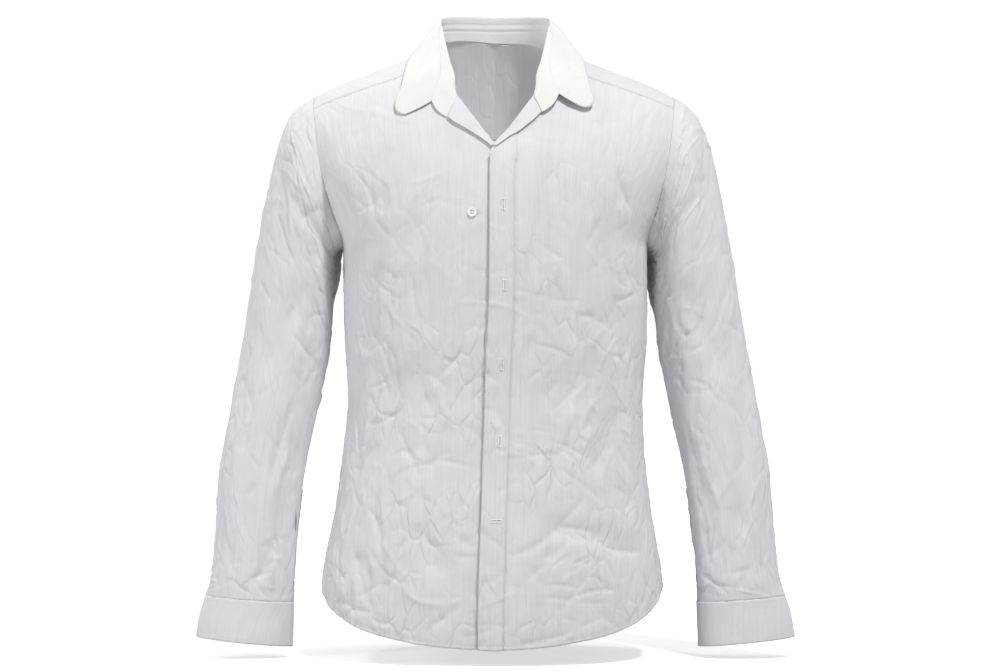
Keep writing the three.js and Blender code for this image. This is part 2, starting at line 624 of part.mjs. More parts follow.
function yokeSheet() {
  // One half, from the middle of the back round the neck, then along the shoulder seam.
  const half = (side) => {
    const { inner, outer } = frontRowEnds(side, 0);
    const seam = columnShares(side, inner, outer);
    const top = [];
    for (let c = 0; c < YOKE_NECK_COLUMNS; c += 1) {
      const { x, over } = neckPoint(side, (NECK_SHOULDER * c) / YOKE_NECK_COLUMNS);
      top.push({ x, over });
    }
    const bow = seamBow(side);
    seam.forEach((share, column) => {
      const across = (share - seam[0]) / (seam[seam.length - 1] - seam[0]);
      const z = mix(inner.z, outer.z, across) + bow[column];
      const x = side * share * halfWidth(side, z);
      top.push({ x, over: overAngle(x, z, false) });
    });
    const count = top.length - 1;
    const ends = [];
    for (let row = 0; row <= YOKE_ROWS; row += 1) {
      const point = armholePoint(side, mix(ARM_SEAM_FRONT, ARM_SEAM_BACK, row / YOKE_ROWS));
      ends.push({ x: point.x, over: overAngle(point.x, point.z, point.y > 0) });
    }
    const neckShare = YOKE_NECK_COLUMNS / count;
    const spread = YOKE_SPREAD / Math.abs(ends[YOKE_ROWS].x);
    return top.map((start, c) => {
      const share = c / count;
      const far =
        share < neckShare
          ? (spread * share) / neckShare
          : mix(spread, 1, (share - neckShare) / (1 - neckShare));
      const x = ends[YOKE_ROWS].x * far;
      const finish = { x, over: overAngle(x, YOKE_BACK_Z, true) };
      const hold = Math.max(0, (share - 0.6) / 0.4) ** 2;
      return ends.map((end, row) => {
        const down = row / YOKE_ROWS;
        const bulge = (name) => end[name] - mix(ends[0][name], ends[YOKE_ROWS][name], down);
        return shoulderPoint(
          mix(start.x, finish.x, down) + hold * bulge("x"),
          mix(start.over, finish.over, down) + hold * bulge("over"),
        );
      });
    });
  };
  const left = half(1);
  const right = half(-1);
  return [[...right.reverse(), ...left.slice(1)]];
}

// ---------------------------------------------------------------- sleeves
const ARM_ROUNDS = [
  ...Array.from({ length: YOKE_ROWS }, (_, k) => mix(ARM_SEAM_BACK, ARM_SEAM_FRONT, k / YOKE_ROWS)),
  ...Array.from({ length: ARM_ROWS_FRONT }, (_, k) => mix(ARM_SEAM_FRONT, 180, k / ARM_ROWS_FRONT)),
  ...Array.from(
    { length: ARM_ROWS_BACK + 1 },
    (_, k) => mix(180, ARM_SEAM_BACK + 360, k / ARM_ROWS_BACK),
  ),
];

// A point of a section: degrees round it from its outer end, through the front.
function sectionPoint(side, section, round, lift) {
  const angle = degrees(round);
  const outer = new THREE.Vector3(section.outerX, 0, section.outerZ);
  const inner = new THREE.Vector3(section.innerX, 0, section.innerZ);
  const middle = outer.clone().add(inner).multiplyScalar(0.5);
  const half = outer.clone().sub(middle);
  half.setLength(half.length() + lift);
  const depth = (Math.sin(angle) > 0 ? section.front : section.back) + lift;
  const point = middle.addScaledVector(half, Math.cos(angle));
  point.y = -section.forward - depth * Math.sin(angle);
  point.x *= side;
  return point;
}

// The section at a share of the way along a table's rows, with the right wrist's lean.
function sectionAt(rows, share, side) {
  const place = share * (rows.length - 1);
  const named = rows.map((row, k) => ({ ...row, k }));
  const section = {};
  for (const column of Object.keys(rows[0])) section[column] = lookup(named, "k", place, column);
  const lean = side < 0 ? WRIST_LEAN * smooth(-section.outerZ, -LEAN_FROM_Z, -LEAN_FULL_Z) : 0;
  section.outerX += lean;
  section.innerX += lean;
  return section;
}

function sleeveGrid(side) {
  const grid = [];
  for (let step = 0; step <= SLEEVE_STEPS; step += 1) {
    const share = Math.max(0, (step - 1) / (SLEEVE_STEPS - 1));
    const section = sectionAt(SLEEVE, share ** SLEEVE_CROWDING, side);
    grid.push(
      ARM_ROUNDS.map((round) =>
        step ? sectionPoint(side, section, round, 0) : armholePoint(side, round),
      ),
    );
  }
  trimRow(grid, 0, 1);
  trimRow(grid, SLEEVE_STEPS, SLEEVE_STEPS - 1);
  return grid;
}

function sleeveSheet(side) {
  const grid = sleeveGrid(side);
  const depths = new Map();
  grid.forEach((row, r) =>
    row.forEach((p, c) => {
      const round = ((ARM_ROUNDS[c] + 360) % 360) * MM_ROUND;
      depths.set(placeKey(p), foldDepth(round, (r / SLEEVE_STEPS) * MM_DOWN, SLEEVE_RUNS));
    }),
  );
  return sink(side > 0 ? flipped([grid]) : [grid], (p) => depths.get(placeKey(p)));
}

// The band over the slit at the wrist, made from the sleeve's own points.
function sleevePlacketSheet(side, sleeve) {
  const rows = sleeve[0].slice(-SLIT_STEPS - 1);
  const inside = rows[0].length - 1 - ARM_ROWS_BACK; // the column that lies next to the body
  const first = side > 0 ? ARM_ROWS_BACK - 1 : inside;
  return [rows.map((row) => row.slice(first, first + 2))];
}

function cuffSheet(side) {
  const grid = [];
  for (let step = 0; step <= CUFF_ROWS; step += 1) {
    const section = sectionAt(CUFF, step / CUFF_ROWS, side);
    const row = [];
    for (let k = 0; k <= CUFF_COLUMNS; k += 1) {
      const turn = (k / CUFF_COLUMNS) * (360 + CUFF_LAP);
      const lift = CUFF_WALL_LIFT * smooth(turn, 360 - CUFF_LAP, 360 - 8);
      row.push(sectionPoint(side, section, CUFF_UNDER_START + turn, lift));
    }
    grid.push(row);
  }
  return side > 0 ? flipped([grid]) : [grid];
}

// ---------------------------------------------------------------- collar
// The table's columns as smooth curves over both halves, with the neck seam's own points
// filled in.
function collarCurves() {
  const half = (side) =>
    COLLAR.map((row) => {
      const place = ([x, y, z]) => new THREE.Vector3(NECK_MIDDLE + side * x, y, z);
      const seam = row.neck ? neckPoint(side, row.neck).point : place(row.seam);
      const join = place(row.join);
      const crest = row.crest ? place(row.crest) : seam.clone().lerp(join, 0.5);
      return { seam, crest, join, edge: place(row.edge), bulge: row.bulge };
    });
  const rows = [...half(-1).reverse(), ...half(1).slice(1)];
  const curves = {};
  for (const name of ["seam", "crest", "join", "edge"]) {
    curves[name] = new THREE.CatmullRomCurve3(rows.map((row) => row[name]), false, "centripetal");
  }
  return curves;
}

const BULGES = COLLAR.map((row, k) => ({ share: k / (COLLAR.length - 1), bulge: row.bulge }));

// A bend from one point to another that leaves and arrives towards its control point.
function bend(a, control, b, t) {
  return a
    .clone()
    .multiplyScalar((1 - t) ** 2)
    .addScaledVector(control, 2 * t * (1 - t))
    .addScaledVector(b, t * t);
}

// A collar piece as one grid, a row for each section from the right end to the left one.
// The share is below zero on the right half.
function collarSheet(section) {
  const curves = collarCurves();
  const grid = [];
  for (let step = -COLLAR_STEPS; step <= COLLAR_STEPS; step += 1) {
    const share = step / COLLAR_STEPS;
    const points = {};
    for (const name of Object.keys(curves)) points[name] = curves[name].getPoint((share + 1) / 2);
    grid.push(section(points, Math.abs(share)));
  }
  return [grid];
}

// The stand's section runs from the seam over the crest to the join, as one bend.
function standControl({ seam, crest, join }) {
  return crest.clone().multiplyScalar(2).sub(seam.clone().add(join).multiplyScalar(0.5));
}

function standSheet() {
  return collarSheet((points) => {
    const control = standControl(points);
    const start = points.seam.clone().add(control.clone().sub(points.seam).setLength(STAND_LIFT));
    return Array.from({ length: STAND_ROWS + 1 }, (_, k) =>
      bend(start, control, points.join, k / STAND_ROWS),
    );
  });
}

// The leaf goes on from the stand where that is turned out, and folds down over it behind.
function leafSheet() {
  return collarSheet((points, share) => {
    const { join, edge } = points;
    const onward = join.clone().sub(standControl(points)).normalize();
    const turned = smooth(share, TURNED_FROM, TURNED_FULL);
    const start = join.clone().addScaledVector(onward, mix(LEAF_FOLD, 2 * SEAM_GAP, turned));
    const outward = new THREE.Vector3(start.x - NECK_MIDDLE, start.y - NECK_CENTRE_Y, 0).normalize();
    const bulge = lookup(BULGES, "share", share, "bulge");
    const folded = start.clone().lerp(edge, 0.42).addScaledVector(outward, bulge);
    folded.z += bulge * 0.8;
    const flowing = start.clone().addScaledVector(onward, 0.35 * edge.distanceTo(join));
    const control = folded.lerp(flowing, turned * 0.8);
    return Array.from({ length: LEAF_ROWS + 1 }, (_, k) => bend(start, control, edge, k / LEAF_ROWS));
  });
}

// ---------------------------------------------------------------- buttons
function buttonGeometry() {
  const half = BUTTON_THICKNESS / 2;
  const profile = [
    [0, -half],
    [BUTTON_RADIUS - 0.5, -half],
    [BUTTON_RADIUS, -half * 0.3],
    [BUTTON_RADIUS - 0.4, half],
    [BUTTON_RADIUS - 1.4, half],
    [BUTTON_RADIUS - 2, half * 0.6],
    [0, half * 0.6],
  ];
  const geometry = new THREE.LatheGeometry(profile.map(([r, y]) => new THREE.Vector2(r, y)), 10);
  geometry.deleteAttribute("normal");
  geometry.deleteAttribute("uv");
  return mergeVertices(geometry, 1e-3);
}

// A button whose back lies just off a surface, at a point with an outward direction.
function button(name, point, outward) {
  const mesh = new THREE.Mesh(buttonGeometry(), PEARL);
  mesh.name = name;
  mesh.position.copy(point).addScaledVector(outward, BUTTON_THICKNESS / 2 + SEAM_GAP);
  mesh.quaternion.setFromUnitVectors(new THREE.Vector3(0, 1, 0), outward);
  return mesh;
}

// The cuff's button lies on the lap, half way up the cuff, square to its surface.
function cuffButton(name, side) {
  const middle = CUFF_UNDER_START + CUFF_LAP - CUFF_BUTTON_INSET;
  const spot = (round, share) =>
    sectionPoint(side, sectionAt(CUFF, share, side), round, CUFF_WALL_LIFT);
  const round = spot(middle + 5, 0.5).sub(spot(middle - 5, 0.5));
  const down = spot(middle, 0.6).sub(spot(middle, 0.4));
  const outward = round.cross(down).multiplyScalar(side).normalize();
  return button(name, spot(middle, 0.5), outward);
}

// ---------------------------------------------------------------- the shirt
const GREY = new THREE.MeshStandardMaterial({ color: 0xd9dadf, roughness: 0.9, metalness: 0 });
const WHITE = new THREE.MeshStandardMaterial({ color: 0xf6f6f3, roughness: 0.85, metalness: 0 });
const PEARL = new THREE.MeshStandardMaterial({ color: 0xf2f1ec, roughness: 0.35, metalness: 0 });

const shirt = new THREE.Group();

function add(name, geometry, material) {
  const mesh = new THREE.Mesh(geometry, material);
  mesh.name = name;
  shirt.add(mesh);
}

const fronts = { left: frontSheet(1), right: frontSheet(-1) };
for (const [name, sheet] of Object.entries(fronts)) add(`front_${name}`, wall(sheet, 0, -CLOTH), GREY);

// The placket's rows start where the roll line ends.
const bandRows = fronts.left[0].slice(NECK_ROWS + ROLL_ROWS);
const band = bandRows.map((row) => row.slice(0, PLACKET_COLUMNS + 1));
add("placket", wall([band], SEAM_GAP + BAND_WALL, SEAM_GAP), GREY);
add("back", wall(backSheet(), 0, -CLOTH), GREY);
add("yoke", wall(yokeSheet(), 0, -CLOTH), GREY);
add("collar_stand", wall(standSheet(), BAND_CLOTH / 2, -BAND_CLOTH / 2), WHITE);
add("collar_leaf", wall(leafSheet(), BAND_CLOTH / 2, -BAND_CLOTH / 2), WHITE);

for (const [hand, side] of [["left", 1], ["right", -1]]) {
  const sleeve = sleeveSheet(side);
  const slit = sleevePlacketSheet(side, sleeve);
  add(`sleeve_${hand}`, wall(sleeve, 0, -CLOTH), GREY);
  add(`sleeve_placket_${hand}`, wall(slit, SEAM_GAP + BAND_WALL, SEAM_GAP), GREY);
  add(`cuff_${hand}`, wall(cuffSheet(side), 0, -BAND_CLOTH), GREY);
  shirt.add(cuffButton(`button_cuff_${hand}`, side));
}

FRONT_BUTTONS.forEach(({ x, z, sink: inside }, k) => {
  const seat = bodyPoint(x, z, false);
  const across = bodyPoint(x + BUTTON_RADIUS, z, false).sub(seat);
  const up = bodyPoint(x, z + BUTTON_RADIUS, false).sub(seat);
  const outward = across.cross(up).normalize();
  seat.addScaledVector(outward, -inside - foldDepth(x, z, bodyRuns(false)));
  shirt.add(button(`button_front_${k + 1}`, seat, outward));
});

export default shirt;
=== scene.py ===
# %% [markdown]
# # A crumpled button-up shirt
#
# The shirt hangs as if someone wore it, with a white rounded collar and grey striped cotton
# that has been crushed and never ironed. Every cut piece of cloth is a thin sheet of fine
# squares, bent over the form of its solid in the frame, and then creased. Sizes are in
# millimetres, as on a pattern sheet, and become metres when a mesh is made.

# %% Load the frame
import math

import bmesh
import bpy
import numpy as np
from mathutils import Matrix, Vector, noise


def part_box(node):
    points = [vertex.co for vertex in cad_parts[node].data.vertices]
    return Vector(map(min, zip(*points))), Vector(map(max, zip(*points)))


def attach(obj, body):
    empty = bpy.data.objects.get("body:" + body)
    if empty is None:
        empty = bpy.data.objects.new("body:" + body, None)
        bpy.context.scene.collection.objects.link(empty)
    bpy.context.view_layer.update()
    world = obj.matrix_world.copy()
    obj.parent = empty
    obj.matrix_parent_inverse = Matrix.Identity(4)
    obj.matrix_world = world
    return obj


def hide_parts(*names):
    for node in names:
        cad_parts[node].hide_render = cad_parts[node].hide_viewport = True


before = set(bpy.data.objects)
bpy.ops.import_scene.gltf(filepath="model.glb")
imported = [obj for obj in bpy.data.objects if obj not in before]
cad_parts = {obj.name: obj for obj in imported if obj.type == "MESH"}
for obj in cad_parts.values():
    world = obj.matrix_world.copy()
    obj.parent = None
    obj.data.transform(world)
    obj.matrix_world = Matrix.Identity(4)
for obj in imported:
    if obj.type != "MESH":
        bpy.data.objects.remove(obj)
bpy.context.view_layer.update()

MM = 0.001
NO_LENGTH = 1e-9
BODY = "root"
HALVINGS = 40
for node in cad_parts:
    lo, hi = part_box(node)
    print(f"{node}: {[round((b - a) / MM) for a, b in zip(lo, hi)]} mm")

# %% [markdown]
# ## Tables
#
# A pattern is kept as short tables of sizes. A value between two rows is found on a smooth
# curve that never swings past them, so a handful of rows describes a whole form.


# %% Read a table smoothly
def table(header, *rows):
    """The columns of a table, by name."""
    return dict(zip(header.split(), np.array(rows, float).T))


def lookup(columns, key, place, column):
    """Values of a column at some places along the key column."""
    x, y = columns[key], columns[column]
    slope = np.diff(y) / np.diff(x)
    tangent = np.concatenate([slope[:1], np.zeros(len(x) - 2), slope[-1:]])
    both = slope[:-1] * slope[1:] > 0
    total = np.where(both, slope[:-1] + slope[1:], 1)
    tangent[1:-1] = np.where(both, 2 * slope[:-1] * slope[1:] / total, 0)
    place = np.clip(place, x[0], x[-1])
    i = np.clip(np.searchsorted(x, place, side="right") - 1, 0, len(x) - 2)
    width = x[i + 1] - x[i]
    t = (place - x[i]) / width
    value = y[i] * (2 * t**3 - 3 * t**2 + 1) + y[i + 1] * (3 * t**2 - 2 * t**3)
    return value + width * (tangent[i] * (t**3 - 2 * t**2 + t) + tangent[i + 1] * (t**3 - t**2))


def solve(rising, value, low, high):
    """Where a rising function reaches a value."""
    a, b = np.zeros_like(value) + low, np.zeros_like(value) + high
    for _ in range(HALVINGS):
        middle = (a + b) / 2
        below = rising(middle) < value
        a, b = np.where(below, middle, a), np.where(below, b, middle)
    return (a + b) / 2


def smooth(value, start, end):
    """Rises from 0 to 1 between two places, gently at both."""
    t = np.clip((value - start) / (end - start), 0, 1)
    return t * t * (3 - 2 * t)


def mix(a, b, share):
    """A value between two others, by the share of the way to the second."""
    return a + (b - a) * share


def power(value, exponent):
    """A power that keeps the sign of its value."""
    return np.sign(value) * np.abs(value) ** exponent


def unit(vectors):
    return vectors / np.linalg.norm(vectors, axis=-1, keepdims=True)


def fine_steps(*parts):
    """Places from 0 on, for parts of (count, steps to each of the count)."""
    places, start = [], 0
    for k, (count, fine) in enumerate(parts):
        part = np.linspace(start, start + count, count * fine + 1)
        places.append(part if k == len(parts) - 1 else part[:-1])
        start += count
    return np.concatenate(places)


# %% [markdown]
# ## The body's form
#
# A filled shirt is an oval tube that closes over the shoulders. The girths give its half
# widths and depths by height, and the ridge gives the height of the shoulders.

# %% Sizes of the body
GIRTHS = table(
    "z right left front back",
    (-745, 217, 213, 113, 121),
    (-653, 213, 208, 116, 122),
    (-553, 195, 193, 113, 113),
    (-491, 187, 186, 110, 104),
    (-429, 181, 184, 110, 101),
    (-343, 185, 189, 117, 108),
    (-240, 187, 190, 124, 118),
    (-200, 205, 206, 124, 120),
    (-150, 232, 232, 123, 120),
    (-100, 252, 252, 120, 116),
    (-50, 262, 262, 118, 111),
    (120, 275, 275, 110, 104),
)
RIDGE = table(
    "x front back",
    (0, 24, 117),
    (35, 21, 86),
    (60, 17, 39),
    (72, 13, 14),
    (90, 1, 1),
    (115, -10, -10),
    (155, -25.5, -25.5),
    (193, -40.5, -40.5),
    (222, -54.4, -54.4),
    (260, -75, -75),
)
SEAM_DROP = table("x drop", (60, 19), (115, 24), (150, 22), (225, 17.5))
ARMHOLE = table(
    "z share",
    (-240, 1),
    (-232, 0.992),
    (-216, 0.975),
    (-190, 0.953),
    (-162, 0.917),
    (-130, 0.885),
    (-100, 0.863),
    (-70, 0.8555),
    (-50, 0.8535),
)
FRONT_EDGES = table(
    "z left right",
    (-745, -19, 12),
    (-666, -18, 13),
    (-546, -14.4, 17),
    (-462, -12, 19),
    (-379, -9.6, 21),
    (-306, -6, 25),
    (-170, -5, 26),
    (-150, -5, 21),
    (-133, -4.5, 9),
    (-97, 22, -17.5),
    (-61, 48.3, -44.3),
    (-40, 64, -60),
)
HEM_SIDE_Z = -662
HEM = table(
    "share z",
    (0, -727),
    (0.3, -723),
    (0.55, -715),
    (0.72, -706),
    (0.85, -694),
    (0.93, -682),
    (1, HEM_SIDE_Z),
)
CHEST_Z = -240
ROUNDNESS = 2.4
ROOF_RISE = 2.6
ROOF_DEPTH = 1.7
NECK_MIDDLE, NECK_CENTRE_Y = 2, -5
NECK_HALF_WIDTH, NECK_BACK, NECK_FRONT = 72, 80, 108
NECK_SHOULDER, NECK_CORNER = 111, 140
OVER_MOST = 1.5  # radians over the ridge, nearly a quarter turn
SHOULDER_TIP_Z = -54.6
YOKE_BACK_Z = -100
BACK_TAIL = 10
LAP_LIFT = 3.5


# %% Points on the body
def half_width(x, z):
    return np.where(x < 0, lookup(GIRTHS, "z", z, "right"), lookup(GIRTHS, "z", z, "left"))


def ridge_height(x, back):
    x = np.abs(x)
    return np.where(back, lookup(RIDGE, "x", x, "back"), lookup(RIDGE, "x", x, "front"))


def oval_depth(x, z, back):
    share = np.minimum(1, np.abs(x) / half_width(x, z))
    depth = np.where(back, lookup(GIRTHS, "z", z, "back"), lookup(GIRTHS, "z", z, "front"))
    return depth * (1 - share**ROUNDNESS) ** (1 / ROUNDNESS)


def rise(x, z, back):
    return np.clip((z - CHEST_Z) / (ridge_height(x, back) - CHEST_Z), 0, 1)


def body_point(x, z, back):
    """The point of the body's front or back at a distance out and a height."""
    x, z = np.broadcast_arrays(np.asarray(x, float), np.asarray(z, float))
    depth = oval_depth(x, z, back) * (1 - rise(x, z, back) ** ROOF_RISE) ** (1 / ROOF_DEPTH)
    return np.stack([x, np.where(back, depth, -depth), z], -1)


def shoulder_point(x, over):
    """The same surface by an angle over the ridge, which is below zero on the front."""
    x, over = np.broadcast_arrays(np.asarray(x, float), np.asarray(over, float))
    back = over > 0
    z = CHEST_Z + (ridge_height(x, back) - CHEST_Z) * np.cos(over) ** (2 / ROOF_RISE)
    return np.stack([x, power(np.sin(over), 2 / ROOF_DEPTH) * oval_depth(x, z, back), z], -1)


def over_angle(x, z, back):
    return np.where(back, 1, -1) * np.arccos(rise(x, z, back) ** (ROOF_RISE / 2))


def armhole_point(side, degrees):
    """The armhole by degrees from the shoulder tip, the front first."""
    angle = np.radians(degrees)
    z = mix(CHEST_Z, SHOULDER_TIP_Z, (1 + np.cos(angle)) / 2)
    x = side * lookup(ARMHOLE, "z", z, "share") * half_width(side, z)
    return body_point(x, z, np.sin(angle) < 0)


def neck_place(side, degrees):
    """The neck seam by degrees from the middle of the back: distance out and angle over."""
    angle = np.radians(np.asarray(degrees, float))
    x = NECK_MIDDLE + side * NECK_HALF_WIDTH * np.sin(angle)
    y = NECK_CENTRE_Y + np.where(angle < np.pi / 2, NECK_BACK, NECK_FRONT) * np.cos(angle)
    return x, solve(lambda over: shoulder_point(x, over)[..., 1], y, -OVER_MOST, OVER_MOST)


def neck_point(side, degrees):
    return shoulder_point(*neck_place(side, degrees))


def seam_height(x):
    return ridge_height(x, False) - lookup(SEAM_DROP, "x", np.abs(x), "drop")


def hem_height(share):
    return lookup(HEM, "share", np.abs(share), "z")


def seam_over_armhole(degrees):
    """How far the shoulder seam runs above a place of the armhole."""
    point = armhole_point(1, degrees)
    return seam_height(point[..., 0]) - point[..., 2]


def yoke_over_armhole(degrees):
    return YOKE_BACK_Z - armhole_point(1, degrees)[..., 2]


ARM_FRONT = float(solve(seam_over_armhole, np.array(0.0), 1, 90))
ARM_BACK = -float(solve(yoke_over_armhole, np.array(0.0), 1, 90))
print(f"the shoulder seam meets the armhole {ARM_FRONT:.1f} degrees round, the yoke seam {ARM_BACK:.1f}")

# %% [markdown]
# ## From a grid of points to a sheet of cloth
#
# A sheet is a grid of points. Its own width and length along the cloth become its UV map, in
# metres, so that weave and stripes follow the cloth round the body. Creases move each point
# along the surface's normal, and Solidify then gives the thin wall.


# %% Grids
WELD, SLIVER = 0.02, 0.01


def normals_of(grid):
    """Unit normals of a grid, seen from outside with its rows downwards."""
    across, down = np.gradient(grid, axis=1), np.gradient(grid, axis=0)
    normal = np.cross(down, across)
    return normal / np.maximum(np.linalg.norm(normal, axis=-1, keepdims=True), NO_LENGTH)


def cloth_lengths(grid):
    """How far each point lies across and down the cloth from the first ones, in millimetres."""
    across = np.linalg.norm(np.diff(grid, axis=1), axis=-1)
    down = np.linalg.norm(np.diff(grid, axis=0), axis=-1)
    u = np.concatenate([np.zeros((len(grid), 1)), np.cumsum(across, 1)], 1)
    v = np.concatenate([np.zeros((1, grid.shape[1])), np.cumsum(down, 0)], 0)
    return u, v


def grain(grid, zero):
    """UV map of a grid: widths from the column where x is nearest to zero, and heights."""
    u, v = cloth_lengths(grid)
    column = np.abs(grid[:, :, 0] - zero).argmin(1)
    rows = np.arange(len(grid))
    start = (grid[rows, column, 0] - zero) * np.sign(grid[:, -1, 0] - grid[:, 0, 0])
    return np.stack([u - (u[rows, column] - start)[:, None], grid[:1, :, 2] - v], -1) * MM


def link_mesh(name, mesh):
    """An object with smooth faces in the scene."""
    mesh.polygons.foreach_set("use_smooth", [True] * len(mesh.polygons))
    piece = bpy.data.objects.new(name, mesh)
    bpy.context.scene.collection.objects.link(piece)
    return piece


def new_mesh(name, grids, maps=None):
    """One mesh from grids of points, welded where they share points."""
    points, faces, uvs = [], [], []
    for k, grid in enumerate(grids):
        rows, columns = grid.shape[:2]
        ids = np.arange(rows * columns).reshape(rows, columns) + len(points)
        quads = np.stack([ids[:-1, :-1], ids[1:, :-1], ids[1:, 1:], ids[:-1, 1:]], -1)
        faces.extend(quads.reshape(-1, 4).tolist())
        place = maps[k] if maps else np.stack(cloth_lengths(grid), -1) * MM
        uvs.extend(place.reshape(-1, 2))
        points.extend(grid.reshape(-1, 3) * MM)
    mesh = bpy.data.meshes.new(name)
    mesh.from_pydata([tuple(p) for p in points], [], faces)
    layer = mesh.uv_layers.new(name="cloth")
    corner = np.empty(len(mesh.loops), np.int32)
    mesh.loops.foreach_get("vertex_index", corner)
    layer.data.foreach_set("uv", np.array(uvs)[corner].ravel())
    bm = bmesh.new()
    bm.from_mesh(mesh)
    bmesh.ops.remove_doubles(bm, verts=bm.verts, dist=WELD * MM)
    bmesh.ops.dissolve_degenerate(bm, dist=SLIVER * MM, edges=bm.edges)
    bm.to_mesh(mesh)
    bm.free()
    return link_mesh(name, mesh)


def apply_modifiers(piece):
    bpy.ops.object.select_all(action="DESELECT")
    piece.select_set(True)
    bpy.context.view_layer.objects.active = piece
    for modifier in list(piece.modifiers):
        bpy.ops.object.modifier_apply(modifier=modifier.name)


def solidify(piece, thickness, offset=-1.0):
    """Gives a sheet its wall, and applies it."""
    wall = piece.modifiers.new("wall", "SOLIDIFY")
    wall.thickness = thickness * MM
    wall.offset = offset
    apply_modifiers(piece)
    print(f"{piece.name}: {len(piece.data.polygons)} faces")
    return piece


# %% [markdown]
# ## Creases
#
# Crushed cotton keeps three kinds of form: a few broad folds where it hangs, the main creases,
# each with a sharp line and soft flanks, and a net of small crush lines all over. The first
# two are charted as runs through three points, by distance out and height. Creases on
# the back are charted the same way. The net is the fold lines of a smooth noise: where the
# noise changes sign, its absolute value has a sharp valley.

# %% Broad folds and main creases
FOLDS_FRONT = table(
    "x1 z1 x2 z2 x3 z3 reach depth",
    (68, -150, 68, -206, 68, -262, 13, 3.0),
    (68, -262, 82, -352, 94, -443, 14, 3.3),
    (122, -112, 143, -152, 158, -196, 13, 3.3),
    (150, -300, 151, -336, 152, -372, 12, 2.8),
    (150, -435, 136, -476, 116, -515, 14, 3.0),
    (60, -575, 118, -590, 176, -608, 13, 3.2),
    (-134, -262, -150, -310, -160, -372, 14, 3.6),
    (-104, -388, -130, -462, -158, -530, 14, 3.4),
    (-92, -575, -80, -606, -64, -640, 13, 3.0),
    (-126, -120, -138, -160, -146, -200, 13, 3.2),
    (-168, -612, -152, -634, -132, -652, 12, 2.8),
)
FOLDS_BACK = table(
    "x1 z1 x2 z2 x3 z3 reach depth",
    (-118, -180, -96, -254, -66, -330, 16, 3.8),
    (112, -176, 100, -262, 78, -352, 16, 3.8),
    (-60, -400, -86, -482, -104, -560, 15, 3.6),
    (44, -386, 70, -466, 92, -540, 15, 3.6),
    (-10, -520, 14, -592, 30, -668, 15, 3.2),
)
